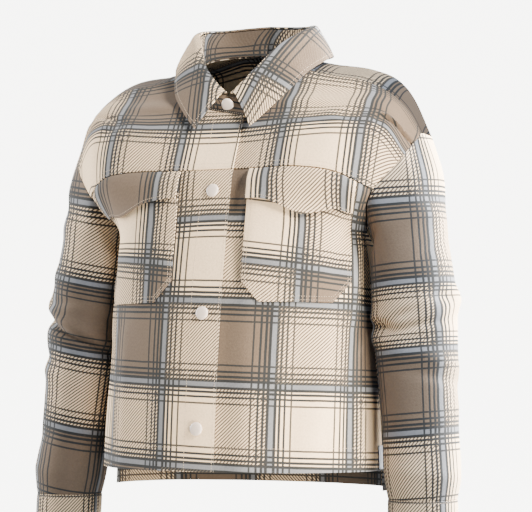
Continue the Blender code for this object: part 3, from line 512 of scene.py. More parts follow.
# %% Node helpers
class Graph:
    """Short ways to add nodes to one material."""

    def __init__(self, name):
        self.material = bpy.data.materials.new(name)
        self.material.use_nodes = True
        self.tree = self.material.node_tree
        self.shader = self.tree.nodes["Principled BSDF"]

    def node(self, kind):
        return self.tree.nodes.new(kind)

    def put(self, value, socket):
        """Connects a socket, or sets a plain value."""
        if isinstance(value, bpy.types.NodeSocket):
            self.tree.links.new(value, socket)
        else:
            socket.default_value = value

    def set(self, **inputs):
        """Fills the shader's inputs, with their names written in small letters and underscores."""
        for socket in self.shader.inputs:
            name = socket.name.lower().replace(" ", "_")
            if name in inputs:
                self.put(inputs[name], socket)

    def math(self, operation, a, b=0.0):
        """A Math node's result."""
        node = self.node("ShaderNodeMath")
        node.operation = operation
        self.put(a, node.inputs[0])
        self.put(b, node.inputs[1])
        return node.outputs[0]

    def add(self, a, b):
        return self.math("ADD", a, b)

    def minus(self, a, b):
        return self.math("SUBTRACT", a, b)

    def times(self, a, b):
        return self.math("MULTIPLY", a, b)

    def distance(self, a, b):
        """How far apart two values are."""
        return self.math("ABSOLUTE", self.minus(a, b))

    def mix(self, share, a, b):
        """A colour between a and b."""
        node = self.node("ShaderNodeMix")
        node.data_type = "RGBA"
        for value, socket in ((share, 0), (a, 6), (b, 7)):
            self.put(value, node.inputs[socket])
        return node.outputs[2]

    def smooth(self, value, low, high):
        """0 below low, 1 above high, and a smooth step between."""
        node = self.node("ShaderNodeMapRange")
        node.interpolation_type = "SMOOTHSTEP"
        for number, socket in ((value, 0), (low, 1), (high, 2)):
            self.put(number, node.inputs[socket])
        return node.outputs[0]

    def noise(self, vector, scale, detail=2.0):
        """A noise value around 0.5."""
        node = self.node("ShaderNodeTexNoise")
        for value, socket in ((scale, "Scale"), (detail, "Detail"), (vector, "Vector")):
            self.put(value, node.inputs[socket])
        return node.outputs[0]

    def cloth_place(self):
        """The place on the cloth in metres, from the UV map."""
        place = self.node("ShaderNodeUVMap")
        place.uv_map = "cloth"
        return place.outputs[0]


print("the helper makes", [name for name in vars(Graph) if not name.startswith("_")])

# %% Sizes and colours of the check
BLOCK = 0.112               # width of one block of colour, in metres
HATCH = 0.0050              # one slanting step of the twill where cream crosses tan
HATCH_LOW, HATCH_HIGH = 0.21, 0.29     # one colour gives way to the other between these shares
YARN_WOBBLE, WOBBLE_SCALE = 0.0006, 60.0
CREAM = (0.80, 0.575, 0.345, 1.0)
TAN = (0.132, 0.090, 0.058, 1.0)
TWILL_TAN = (0.105, 0.072, 0.047, 1.0)
DARK = (0.025, 0.0245, 0.0225, 1.0)
BAND = (0.172, 0.168, 0.167, 1.0)
BAND_HALF, BAND_BLUR = 0.0037, 0.0002
LINE_BLUR = 0.28            # of a line's half width
LINES = (
    # distance from the middle of the band, half width, strength
    (0.0050, 0.00195, 1.0), (0.0107, 0.00175, 1.0), (0.0175, 0.00150, 1.0), (0.0264, 0.00125, 0.95),
)


def stripes(graph, run):
    """From a distance along the cloth: is it a tan block, the band's strength, the dark lines' strength."""
    turns = graph.math("DIVIDE", run, BLOCK)
    block = graph.math("FLOORED_MODULO", graph.math("FLOOR", turns), 2.0)
    tan = graph.math("GREATER_THAN", block, 0.5)
    away = graph.times(graph.distance(turns, graph.math("ROUND", turns)), BLOCK)
    band = graph.minus(1.0, graph.smooth(away, BAND_HALF - BAND_BLUR, BAND_HALF + BAND_BLUR))
    dark = 0.0
    for place, half, strength in LINES:
        off = graph.distance(away, place)
        line = graph.minus(1.0, graph.smooth(off, half * (1 - LINE_BLUR), half * (1 + LINE_BLUR)))
        dark = graph.math("MAXIMUM", dark, graph.times(line, strength))
    return tan, band, dark


print("the check repeats every", BLOCK * 2, "m")

# %% The woven check
ROPE_FADE = 0.05            # how much a dark line fades where it crosses the hatch


def flannel(name):
    """A material's graph with the plaid, the place on the cloth, the plaid's colour and its hatch."""
    graph = Graph(name)
    place = graph.cloth_place()
    split = graph.node("ShaderNodeSeparateXYZ")
    graph.put(place, split.inputs[0])
    wobble = graph.times(graph.minus(graph.noise(place, WOBBLE_SCALE), 0.5), YARN_WOBBLE)
    u = graph.add(split.outputs[0], wobble)
    v = graph.minus(split.outputs[1], wobble)
    tan_u, band_u, dark_u = stripes(graph, u)
    tan_v, band_v, dark_v = stripes(graph, v)
    slant = graph.math("DIVIDE", graph.minus(u, v), HATCH)
    over = graph.smooth(graph.distance(graph.math("FRACT", slant), 0.5), HATCH_LOW, HATCH_HIGH)
    differ = graph.distance(tan_u, tan_v)
    tan = graph.add(graph.times(tan_u, over), graph.times(tan_v, graph.minus(1.0, over)))
    colour = graph.mix(tan, CREAM, graph.mix(differ, TAN, TWILL_TAN))
    colour = graph.mix(graph.math("MAXIMUM", band_u, band_v), colour, BAND)
    rope = graph.minus(1.0, graph.times(graph.times(differ, over), ROPE_FADE))
    dark = graph.times(graph.math("MAXIMUM", dark_u, dark_v), rope)
    return graph, place, graph.mix(dark, colour, DARK), over


print("dark lines in each set:", len(LINES) * 2, "to a block")

# %% [markdown]
# Flannel is brushed, so its yarns stand up as a soft nap. Hair strands could show that, at a high
# price in time. Three noises do it here: a wide one for uneven colour, a fine one for fluff, and one
# between them for the small pebbles of the weave. All three shade the colour, and the two finer ones
# raise the bumps. The inner side of the cloth gets the same check in a darker tone: painted shade for
# the dim inside of the garment.

# %% The nap
SOFT_SCALE, FLUFF_SCALE, PEBBLE_SCALE = 35.0, 900.0, 320.0
SOFT_SHADE, FLUFF_SHADE, PEBBLE_SHADE, MEAN_SHADE = 0.10, 0.16, 0.34, 0.87
HATCH_BUMP, FLUFF_BUMP, PEBBLE_BUMP = 0.22, 0.7, 1.1
BUMP_STRENGTH, BUMP_DEPTH = 0.5, 0.0006
ROUGH_LOW, ROUGH_RANGE = 0.82, 0.12
# painted shade: the inner side of the cloth is darkened to this share of its colour
INSIDE_SHADE_TONE = 0.45


def nap(graph, place, colour, over, tone=1.0):
    """Finishes a flannel: uneven colour, a matt sheen, and the bumps of yarn and fluff. A tone below 1
    darkens all of it, as painted shade.
    """
    soft = graph.noise(place, SOFT_SCALE, 3.0)
    fluff = graph.noise(place, FLUFF_SCALE, 3.0)
    pebble = graph.noise(place, PEBBLE_SCALE)
    shade = graph.add(graph.times(soft, SOFT_SHADE), graph.times(fluff, FLUFF_SHADE))
    shade = graph.add(shade, graph.times(graph.minus(pebble, 0.5), PEBBLE_SHADE))
    bright = graph.node("ShaderNodeHueSaturation")
    graph.put(colour, bright.inputs["Color"])
    graph.put(graph.times(graph.add(shade, MEAN_SHADE), tone), bright.inputs["Value"])
    height = graph.add(graph.times(over, HATCH_BUMP), graph.times(fluff, FLUFF_BUMP))
    height = graph.add(height, graph.times(pebble, PEBBLE_BUMP))
    bump = graph.node("ShaderNodeBump")
    bump.inputs["Strength"].default_value = BUMP_STRENGTH
    bump.inputs["Distance"].default_value = BUMP_DEPTH
    graph.put(height, bump.inputs["Height"])
    graph.set(base_color=bright.outputs[0], normal=bump.outputs[0], specular_ior_level=0.12,
              roughness=graph.add(graph.times(fluff, ROUGH_RANGE), ROUGH_LOW),
              sheen_weight=0.05, sheen_roughness=0.55)
    return graph.material


CHECK = nap(*flannel("plaid_flannel"))
# A darker copy of the check for the inner side of the cloth: painted shade for the dim inside.
CHECK_INSIDE_SHADED = nap(*flannel("plaid_flannel_inside"), tone=INSIDE_SHADE_TONE)
print("plaid nodes:", len(CHECK.node_tree.nodes))

# %% [markdown]
# ## Making a sheet
#
# A sheet starts as Blender's own flat grid. Each of its points is then moved to its address on the
# garment. Its UV map is in metres of cloth, so the plaid keeps one scale over the whole garment.
# The cloth's thickness comes from a Solidify modifier, and a small Bevel rounds the turned edges.
# Modifiers are better than modelled thickness here: the sheet stays one layer, easy to change. The
# same modifier gives the inner side a darker copy of the check, as painted shade for the dim inside.

# %% The sheet maker
def length_along(points):
    """How far along a line of points each of them is."""
    return np.concatenate([[0.0], np.cumsum(np.linalg.norm(np.diff(points, axis=0), axis=1))])


def run_along(grid, axis=1):
    """How far along each row (axis 1) or column (axis 0) every point of a grid is."""
    steps = np.linalg.norm(np.diff(grid, axis=axis), axis=2)
    zero = np.zeros((grid.shape[0], 1)) if axis == 1 else np.zeros((1, grid.shape[1]))
    return np.concatenate([zero, np.cumsum(steps, axis=axis)], axis=axis)


def grid_normals(grid, closed=False):
    """Unit normals of a grid of points."""
    if closed:
        wrapped = np.concatenate([grid[:, -2:-1], grid, grid[:, 1:2]], axis=1)
        along = wrapped[:, 2:] - wrapped[:, :-2]
    else:
        along = np.gradient(grid, axis=1)
    normal = np.cross(along, np.gradient(grid, axis=0))
    return normal / np.maximum(np.linalg.norm(normal, axis=2, keepdims=True), 1e-12)


def sheet_mesh(grid, u, v, closed=False, drop_column=None):
    """A bmesh sheet with its points on a grid, its UV map in metres of cloth."""
    rows, columns = grid.shape[:2]
    bm = bmesh.new()
    cloth_map = bm.loops.layers.uv.new("cloth")
    bmesh.ops.create_grid(bm, x_segments=columns - 1, y_segments=rows - 1, size=1.0)
    address = {}
    for vert in bm.verts:
        row = round((vert.co.y + 1) / 2 * (rows - 1))
        column = round((vert.co.x + 1) / 2 * (columns - 1))
        address[vert] = (row, column)
    for face in bm.faces:
        for loop in face.loops:
            spot = address[loop.vert]
            loop[cloth_map].uv = (u[spot], v[spot])
    if drop_column is not None:
        gone = [f for f in bm.faces if sorted({address[x][1] for x in f.verts}) == drop_column]
        bmesh.ops.delete(bm, geom=gone, context="FACES_ONLY")
    for vert, spot in address.items():
        vert.co = grid[spot]
    if closed or drop_column is not None:
        bmesh.ops.remove_doubles(bm, verts=bm.verts, dist=1e-5)
    return bm


def area_of(grid):
    """The area of a grid of points, in square metres."""
    one, two = grid[1:, 1:] - grid[:-1, :-1], grid[1:, :-1] - grid[:-1, 1:]
    return float(np.linalg.norm(np.cross(one, two), axis=2).sum() / 2)


square = np.array([[(0, 0, 0), (0.1, 0, 0)], [(0, 0.1, 0), (0.1, 0.1, 0)]])
print("a 10 cm square has an area of", round(area_of(square), 4))

# %% Cloth with a thickness
EDGE_ROUND = 0.0006         # how far a turned edge is rounded
EDGE_ANGLE = math.radians(55)
SHADED_INSIDE_PIECES = ("front", "yoke", "back", "sleeve", "collar_stand")     # their inner side gets the darker copy of the check, painted shade


def new_piece(name, bm, finish):
    """An object from a bmesh, in the scene and in the light of the lamps that reach it."""
    mesh = bpy.data.meshes.new(name)
    bm.to_mesh(mesh)
    bm.free()
    mesh.shade_smooth()
    mesh.materials.append(finish)
    piece = bpy.data.objects.new(name, mesh)
    bpy.context.scene.collection.objects.link(piece)
    put_in_light(piece)
    return piece


def cloth_object(name, bm, finish, thick, bevel):
    """A cloth piece from its sheet, with thickness and rounded edges."""
    piece = new_piece(name + "_cloth", bm, finish)
    wall = piece.modifiers.new("thickness", "SOLIDIFY")
    wall.thickness = thick
    wall.offset = -1.0
    wall.use_quality_normals = True
    # Painted shade: the inner shell of these pieces gets the darker copy of the check.
    if name.startswith(SHADED_INSIDE_PIECES):
        piece.data.materials.append(CHECK_INSIDE_SHADED)
        wall.material_offset = 1
    edge = piece.modifiers.new("turned edge", "BEVEL")
    edge.width = bevel
    edge.segments = 2
    edge.profile = 0.5
    edge.limit_method = "ANGLE"
    edge.angle_limit = EDGE_ANGLE
    edge.harden_normals = True
    return piece


print("the cloth is", CLOTH * 1000, "mm thick")

# %% [markdown]
# Topstitching is real thread here. A stitch is a small ball stretched to the length of one stitch, and
# a row of them follows a line at a set distance from an edge. Geometry is better than a painted line,
# because each stitch throws its own shadow, and a few faces are enough for one.

# %% Lines of stitches
HEM_ROW = 0.032             # how far a row of stitches is from its edge
EDGE_ROW, SECOND_ROW = 0.003, 0.008    # a pocket has both rows, a front edge only the first
SEAM_ROW = 0.0025           # the row beside a yoke's or the stand's seam
FACING_ROW = LAP + 0.018    # the row that holds the facing behind the front edge


def stitch_line(grid, edge, inset, closed=False):
    """Points and normals on a line at that distance from one edge of a grid: B, T, L or R."""
    normals = grid_normals(grid, closed)
    if edge in "LR":
        grid, normals = grid.transpose(1, 0, 2), normals.transpose(1, 0, 2)
    if edge in "TR":
        grid, normals = grid[::-1], normals[::-1]
    down = run_along(grid, 0)
    points, facing = [], []
    for j in range(grid.shape[1]):
        points.append([np.interp(inset, down[:, j], grid[:, j, k]) for k in range(3)])
        facing.append([np.interp(inset, down[:, j], normals[:, j, k]) for k in range(3)])
    return np.array(points), np.array(facing)


print("a hem is stitched", HEM_ROW * 1000, "mm from its edge")

# %% Stitches
STITCH_STEP, STITCH_LENGTH = 0.0034, 0.0026
THREAD = 0.00050
THREAD_RISE = 0.15          # how far a stitch's middle stands off the cloth, as a share of its thickness
THREAD_DARK, THREAD_PALE = (0.42, 0.31, 0.21, 1.0), (0.60, 0.46, 0.32, 1.0)


def thread_finish():
    """Matt sewing thread in the ground colour."""
    graph = Graph("sewing_thread")
    place = graph.node("ShaderNodeTexCoord").outputs["Object"]
    twist = graph.noise(place, 2200.0)
    graph.set(base_color=graph.mix(twist, THREAD_DARK, THREAD_PALE), roughness=0.7)
    return graph.material


THREAD_FINISH = thread_finish()


def between(place, run, values):
    """A vector between rows of values, at a place along their run."""
    return Vector([np.interp(place, run, values[:, k]) for k in range(3)])


def stitches(name, lines):
    """One object with every stitch of those lines."""
    bm = bmesh.new()
    for points, facing in lines:
        run = length_along(points)
        count = int(run[-1] / STITCH_STEP)
        for place in (np.arange(count) + 0.5) * run[-1] / max(count, 1):
            here, up = between(place, run, points), between(place, run, facing).normalized()
            along = between(place + 0.001, run, points) - between(place - 0.001, run, points)
            along.normalize()
            side = up.cross(along).normalized()
            axes = Matrix((along * STITCH_LENGTH / 2, side * THREAD / 2, up * THREAD / 2))
            stitch = axes.transposed().to_4x4()
            stitch.translation = here + up * THREAD * THREAD_RISE
            bmesh.ops.create_icosphere(bm, subdivisions=1, radius=1.0, matrix=stitch)
    bmesh.ops.recalc_face_normals(bm, faces=bm.faces)
    piece = new_piece(name, bm, THREAD_FINISH)
    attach(piece, "root")
    return piece


print("a stitch is", STITCH_LENGTH * 1000, "mm long")

# %% Adding a piece
FLAT_SIZES = {}


def add_cloth(name, grid, u, v, lines=(), closed=False,
              drop_column=None, thick=CLOTH, bevel=EDGE_ROUND):
    """Adds a finished cloth piece to the frame: its part, its finish, its stitches and its flat cut."""
    piece = cloth_object(name, sheet_mesh(grid, u, v, closed, drop_column), CHECK, thick, bevel)
    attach(piece, "root")
    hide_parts(name)
    sewn = [stitches(name + "_stitches", lines)] if lines else []
    width = float(run_along(grid, 1)[:, -1].max())
    length = float(run_along(grid, 0)[-1].max())
    area = min(area_of(grid), width * length)
    FLAT_SIZES[name] = (round(width, 3), round(length, 3), round(area, 4))
    return piece


def show_flat(start):
    """Prints the flat cut of the pieces whose names start so: width, length and area in metres."""
    print({name: size for name, size in FLAT_SIZES.items() if name.startswith(start)})


print("pieces so far:", len(FLAT_SIZES))

# %% [markdown] ## The lower fronts  Each front runs from the centre edge round to the side seam, and
# from the hem up to the chest seam.

# %% Lower fronts
SIDES = ("left", "right")
HEM_SLOPE = 0.035           # the cross stripes fall to the wearer's left by this slope
HEM_PIVOT = 0.03            # how far beside the centre they keep their height
CROSS_START = 0.008         # height of the lowest cross band
CENTRE_STRIPE = {"left": 0.130, "right": 0.0845}     # a band's distance from the front edge
FRONT_EDGE = {"left": "L", "right": "R"}             # the side of a grid where the front edge lies
CHEST_DIP = ((0.0, 0.0), (0.53, 0.0), (0.74, 0.010), (0.885, 0.026), (1.0, 0.030))     # across, sag
DIP_TOP = 0.457             # height where the sag has run out
SLOPE_FADE = (0.24, 0.34)   # heights between which the slope of the hem's stripes runs out


def rows_of(*stops):
    """Evenly spaced values between stops: start, then (end, steps) pairs."""
    values = [stops[0]]
    for end, steps in stops[1:]:
        values += list(np.linspace(values[-1], end, steps + 1)[1:])
    return np.array(values)


def facing_side(grid, side):
    """A grid made for the wearer's left, turned so that it faces out on the other side too."""
    return grid if side == "left" else grid[:, ::-1]


def chest_dip(across):
    """How far the cross stripes sag beside the armhole."""
    return np.interp(across, *zip(*CHEST_DIP))


FRONT_COLUMNS = rows_of(0.0, (0.305, 24), (1.0, 50))
LOWER_ROWS = rows_of(0.0, (0.060, 14), (ARMPIT, 66), (FRONT_YOKE - SEAM_GAP / 2, 18))


def lower_front(side):
    """One front below the chest seam."""
    across, height = np.meshgrid(FRONT_COLUMNS, LOWER_ROWS)
    grid = front_points(side, across, height)
    u = FRONT.distance(across.ravel(), height.ravel()).reshape(across.shape)
    sag = chest_dip(across) * np.interp(height, (ARMPIT, FRONT_YOKE), (0.0, 1.0))
    across_body = (u - LAP) * (1 if side == "left" else -1)
    slope = HEM_SLOPE * np.interp(height, SLOPE_FADE, (1.0, 0.0))
    v = height - sag - CROSS_START + slope * (across_body + HEM_PIVOT)
    u = u - CENTRE_STRIPE["left"] if side == "left" else -(u - CENTRE_STRIPE["right"])
    grid, u, v = (facing_side(x, side) for x in (grid, u, v))
    lines = [stitch_line(grid, "B", HEM_ROW)]
    lines += [stitch_line(grid, FRONT_EDGE[side], inset) for inset in (FACING_ROW, EDGE_ROW)]
    return add_cloth("front_" + side, grid, u, v, lines=lines)


for side in SIDES:
    lower_front(side)
show_flat("front")

# %% [markdown]
# ## The front yokes
#
# A yoke carries the pieces below it from the shoulder. Its lower edge is folded and stitched over
# them. It could be a fold in one large front, but a real seam needs two edges that part, so it is a
# sheet of its own. It asks the same surface for its points and stands a little prouder at the seam.

# %% Front yokes
YOKE_STRIPE = {"left": 0.120, "right": 0.0875}       # a band's distance from the front edge
YOKE_CROSS = 0.480          # height of a cross band
YOKE_ROWS = rows_of(
    FRONT_YOKE + SEAM_GAP / 2, (FRONT_NECK, 22), (0.519, 8), (FRONT_TOP_END - SEAM_GAP / 2, 18)
)
YOKE_EDGE_LIFT, YOKE_EDGE_WIDTH = 0.0006, 0.012


def front_yoke(side):
    """One front above the chest seam."""
    across, height = np.meshgrid(FRONT_COLUMNS, YOKE_ROWS)
    lift = YOKE_EDGE_LIFT * np.exp(-((height - FRONT_YOKE) / YOKE_EDGE_WIDTH) ** 2)
    grid = front_points(side, across, height, lift)
    start = FRONT.points(np.zeros(len(YOKE_ROWS)), YOKE_ROWS)[:, 0]
    plain = FRONT.points(across.ravel(), height.ravel()).reshape(across.shape + (3,))
    u = run_along(plain) + (LAP + start)[:, None]
    sag = chest_dip(across) * np.interp(height, (FRONT_YOKE, DIP_TOP), (1.0, 0.0))
    v = height - sag - YOKE_CROSS + BLOCK
    u = u - YOKE_STRIPE["left"] if side == "left" else -(u - YOKE_STRIPE["right"])
    grid, u, v = (facing_side(x, side) for x in (grid, u, v))
    lines = [stitch_line(grid, "B", inset) for inset in (SEAM_ROW, SECOND_ROW)]
    placket = grid[YOKE_ROWS <= FRONT_NECK]
    lines += [stitch_line(placket, FRONT_EDGE[side], inset) for inset in (EDGE_ROW, FACING_ROW)]
    return add_cloth("yoke_front_" + side, grid, u, v, lines=lines)


for side in SIDES:
    front_yoke(side)
show_flat("yoke_front")

# %% [markdown]
# ## The back and its yoke
#
# The back is one piece across, a little longer than the fronts, so a step shows at the side. The back
# yoke comes over the shoulder to the front. Its grid has two columns at the centre: below the
# neckline they lie on each other and are merged, above it they part, and the faces between are dropped.

# %% Back
HALF_COLUMNS = rows_of(0.0, (1.0, 64))
BACK_ROWS = rows_of(BACK_HEM, (0.060, 20), (ARMPIT, 60), (BACK_YOKE - SEAM_GAP / 2, 28))


def back_half(rows, lift=0.0):
    """The wearer's left half of the back on those rows, and its distance from the centre."""
    across, height = np.meshgrid(HALF_COLUMNS, rows)
    flat_across, flat_height = across.ravel(), height.ravel()
    normal = facing_of(BACK.points, flat_across, flat_height, -1)
    points = BACK.points(flat_across, flat_height)
    u = BACK.distance(flat_across, flat_height)
    rise = np.broadcast_to(np.asarray(lift, float), across.shape).ravel()
    below = crease_height("back", u, flat_height) * ease((BACK_YOKE - flat_height) / SEAM_FADE)
    points = points + normal * (rise + below)[:, None]
    start = BACK.points(np.zeros(len(rows)), rows)[:, 0]
    return points.reshape(across.shape + (3,)), u.reshape(across.shape) + start[:, None], height


def back():
    """The back below its yoke, both halves in one sheet."""
    half, u, height = back_half(BACK_ROWS)
    grid = settle(np.concatenate([half[:, ::-1], half[:, 1:] * MIRROR], axis=1))
    u = np.concatenate([-u[:, ::-1], u[:, 1:]], axis=1) + BLOCK / 2
    v = np.concatenate([height[:, ::-1], height[:, 1:]], axis=1) - CROSS_START
    return add_cloth("back", grid, u, v, lines=[stitch_line(grid, "B", HEM_ROW)])


back()
show_flat("back")

# %% Back yoke
BACK_YOKE_ROWS = rows_of(
    BACK_YOKE + SEAM_GAP / 2, (BACK_NECK, 28), (0.618, 10), (BACK_TOP_END - SEAM_GAP / 2, 18)
)
YOKE_BAND_OUT, YOKE_BAND_UP = 0.2195, 0.5825        # a band's distance from the centre, and its height


def back_yoke():
    """The yoke of the back, open at the neck."""
    lift = YOKE_EDGE_LIFT * np.exp(-((BACK_YOKE_ROWS - BACK_YOKE) / YOKE_EDGE_WIDTH) ** 2)[:, None]
    half, u, height = back_half(BACK_YOKE_ROWS, lift)
    grid = settle(np.concatenate([half[:, ::-1], half * MIRROR], axis=1))
    u = np.concatenate([-u[:, ::-1], u], axis=1) + YOKE_BAND_OUT
    v = np.concatenate([height[:, ::-1], height], axis=1) - YOKE_BAND_UP + BLOCK
    middle = half.shape[1]
    lines = [stitch_line(grid, "B", inset) for inset in (SEAM_ROW, SECOND_ROW)]
    return add_cloth("yoke_back", grid, u, v, lines=lines, drop_column=[middle - 1, middle])


back_yoke()
show_flat("yoke_back")

# %% [markdown]
# ## The sleeves
#
# A sleeve is a tube of rings. The first ring is the armhole itself, the next ones are ovals round a
# line down the arm, and a smooth curve joins them. Cloth gathers at the elbow, so folds are added
# there: each has a place down the sleeve, a height, a length, and an angle round the arm. A cloth
# simulation makes folds too, but it can't be told where. A table can follow the ones that are seen.

# %% Sleeve tables
# The middle line of the wearer's left sleeve below its head, and the ovals round it.
SLEEVE = (
    # share of the way down, x, y, z, radius across, radius fore and aft, how far the outer side is raised
    (0.30, 0.2430, 0.0090, -0.258, 0.0505, 0.0590, 0.026),
    (0.47, 0.2530, 0.0030, -0.335, 0.0570, 0.0590, 0.010),
    (0.60, 0.2590, -0.0020, -0.400, 0.0550, 0.0570, 0.004),
    (0.80, 0.2670, -0.0100, -0.500, 0.0510, 0.0530, 0.000),
    (0.97, 0.2740, -0.0200, -0.588, 0.0490, 0.0500, 0.000),
    (1.00, 0.2745, -0.0210, CUFF_SEAM_Z, 0.0460, 0.0475, 0.000),
)
HEAD_SHARE = 0.12           # the ring that gives the sleeve head its roundness
HEAD_BLEND = 0.42
HEAD_SWELL = 0.0085         # how far the head swells out over the outer side of the arm
ARMPIT_CLEAR = 0.0015       # air between the sleeve and the body at the armpit
HEAD_CLEAR = 0.0060         # how far it stands off the body at the armpit
LEFT_SLEEVE_RISE = 0.0080   # the wearer's left sleeve is pushed up by this much at its cuff
RISE_START = 0.60           # share of the sleeve where that begins
CUFF_END = (0.2760, -0.0240, 0.0445, 0.0460)      # x, y, radius across, radius fore and aft
# Folds at the elbow. Angle 0 is the outer side of the arm, 90 its back, 180 the inner side, 270 its front.
ELBOW_FOLDS = {
    # share of the way down, height, half length, middle angle, spread of angle, slope per degree
    "left": (
        (0.475, 0.0032, 0.030, 10.0, 70.0, 0.0), (0.525, -0.0046, 0.022, 215.0, 85.0, 0.00045),
        (0.500, 0.0042, 0.022, 190.0, 60.0, 0.0), (0.560, 0.0040, 0.022, 180.0, 70.0, 0.0),
        (0.545, -0.0032, 0.018, 300.0, 60.0, -0.0003), (0.440, -0.0030, 0.020, 100.0, 60.0, 0.0),
    ),
    "right": (
        (0.480, 0.0042, 0.024, 5.0, 60.0, 0.0), (0.523, -0.0050, 0.020, 350.0, 65.0, 0.0003),
        (0.566, 0.0040, 0.024, 350.0, 60.0, 0.0), (0.590, -0.0038, 0.022, 260.0, 70.0, -0.0004),
        (0.500, -0.0030, 0.020, 190.0, 60.0, 0.0), (0.455, 0.0030, 0.022, 120.0, 60.0, 0.0),
    ),
}
FINE_FOLDS = {
    # the same columns: smaller folds that only the cloth has
    "left": (
        (0.468, -0.0085, 0.020, 338.0, 27.0, 0.0), (0.474, 0.0040, 0.026, 12.0, 26.0, 0.0),
        (0.500, -0.0056, 0.012, 278.0, 27.0, -0.0006), (0.484, 0.0036, 0.012, 300.0, 28.0, -0.0006),
        (0.524, -0.0066, 0.014, 236.0, 22.0, 0.0004), (0.530, 0.0040, 0.022, 200.0, 22.0, 0.0),
        (0.552, 0.0034, 0.010, 280.0, 45.0, -0.0002), (0.537, -0.0034, 0.010, 290.0, 45.0, -0.0002),
        (0.18, -0.0030, 0.050, 330.0, 40.0, 0.0008), (0.26, 0.0026, 0.040, 340.0, 45.0, 0.0007),
        (0.36, -0.0022, 0.022, 320.0, 45.0, -0.0004), (0.63, 0.0026, 0.018, 330.0, 60.0, 0.0004),
        (0.68, -0.0022, 0.016, 340.0, 60.0, 0.0004), (0.80, 0.0018, 0.030, 310.0, 60.0, -0.0006),
        (0.20, -0.0026, 0.040, 200.0, 50.0, -0.0006), (0.74, -0.0020, 0.022, 80.0, 70.0, 0.0003),
        (0.30, 0.0024, 0.030, 100.0, 60.0, 0.0005), (0.93, 0.0014, 0.020, 300.0, 80.0, 0.0002),
    ),
    "right": (
        (0.550, -0.0085, 0.010, 275.0, 75.0, -0.00066), (0.520, 0.0062, 0.015, 275.0, 75.0, -0.00062),
        (0.585, 0.0032, 0.018, 265.0, 70.0, -0.00060), (0.470, -0.0026, 0.014, 300.0, 50.0, 0.0004),
        (0.18, -0.0030, 0.045, 325.0, 40.0, 0.0009), (0.27, 0.0024, 0.036, 335.0, 45.0, 0.0008),
        (0.40, 0.0022, 0.020, 330.0, 50.0, -0.0005), (0.62, -0.0026, 0.016, 320.0, 60.0, -0.0004),
        (0.66, 0.0026, 0.018, 320.0, 60.0, -0.0005), (0.84, -0.0018, 0.030, 315.0, 60.0, 0.0006),
        (0.22, 0.0026, 0.040, 200.0, 50.0, 0.0006), (0.76, 0.0020, 0.022, 90.0, 70.0, -0.0003),
        (0.34, -0.0024, 0.030, 95.0, 60.0, -0.0005), (0.93, 0.0014, 0.020, 310.0, 80.0, -0.0002),
    ),
}
SLEEVE_RINGS = 160
RING_FACES = 112
RING_ANGLES = np.linspace(180, 540, RING_FACES + 1)      # from the armpit over the shoulder and round
print("sleeve ovals:", len(SLEEVE), "and folds at the elbow:", {k: len(v) for k, v in ELBOW_FOLDS.items()})

# %% Armhole ring and folds
def armhole(angles):
    """Points of the wearer's left armhole at angles from 180, the armpit, over the shoulder to 540."""
    front = FRONT.points(np.ones(120), np.linspace(ARMPIT, FRONT_TOP_END, 120))
    back_side = BACK.points(np.ones(140), np.linspace(ARMPIT, BACK_TOP_END, 140))
    front_run, back_run = length_along(front), length_along(back_side)
    ring = np.concatenate([front, back_side[-2::-1]])
    back_turn = 540 - 180 * back_run / back_run[-1]
    turn = np.concatenate([180 + 180 * front_run / front_run[-1], back_turn[-2::-1]])
    return np.stack([np.interp(angles, turn, ring[:, k]) for k in range(3)], axis=1)


def ellipse(angles, x, y, z, across, fore, tilt=0.0):
    """A ring round the arm, its outer side raised by tilt."""
    c, s = np.cos(np.radians(angles)), np.sin(np.radians(angles))
    return np.stack([x + across * c, y + fore * s, z + tilt * c], axis=1)


def fold_height(folds, share, angles):
    """How far folds push the cloth out at one share of the sleeve."""
    total = np.zeros(len(angles))
    for at, height, reach, middle, spread, slope in folds:
        turn = (angles - middle + 180) % 360 - 180
        run = (share - at - slope * turn) / reach
        total += height * np.exp(-(run**2)) * np.exp(-((turn / spread) ** 2))
    return total


print("armpit point:", np.round(armhole(np.array([180.0]))[0], 3))

# %% Sleeves
ARMHOLE_OUTWARD = np.array([0.84, 0.0, -0.54])
HEAD_OUTWARD = np.array([0.92, 0.0, 0.38])
SIDEWAYS = np.array([1.0, 0.0, 0.0])
SLEEVE_RADIUS = {"left": 0.0540, "right": 0.0502}       # turns an angle into a distance round the sleeve
SLEEVE_CROSS = {
    # z of the front of the sleeve, and the plaid's place there in blocks
    "left": ((-0.72, -0.97), (-0.661, -0.37), (-0.507, 1.0), (-0.399, 2.0),
             (-0.308, 3.0), (-0.199, 4.0), (-0.10, 4.9), (-0.03, 5.5)),
    "right": ((-0.72, -1.97), (-0.661, -1.37), (-0.507, 0.0), (-0.398, 1.0),
              (-0.299, 2.0), (-0.189, 3.0), (-0.10, 3.8), (-0.03, 4.4)),
}
SLEEVE_BAND = {"left": -33.6, "right": -50.0}   # the long band's angle from the outer side, to the front
SLEEVE_TILT = {"left": 0.09, "right": 0.20}     # the stripes rise to the outer side by this slope
ARM_LINE = (
    (-0.66, 0.276, -0.024), (CUFF_SEAM_Z, 0.2745, -0.021), (-0.400, 0.259, -0.002),
    (-0.258, 0.243, 0.009), (-0.090, 0.228, 0.014),
)
HEAD_FADE, CUFF_FADE = 0.10, 0.05       # the fine folds run out over these shares of the sleeve


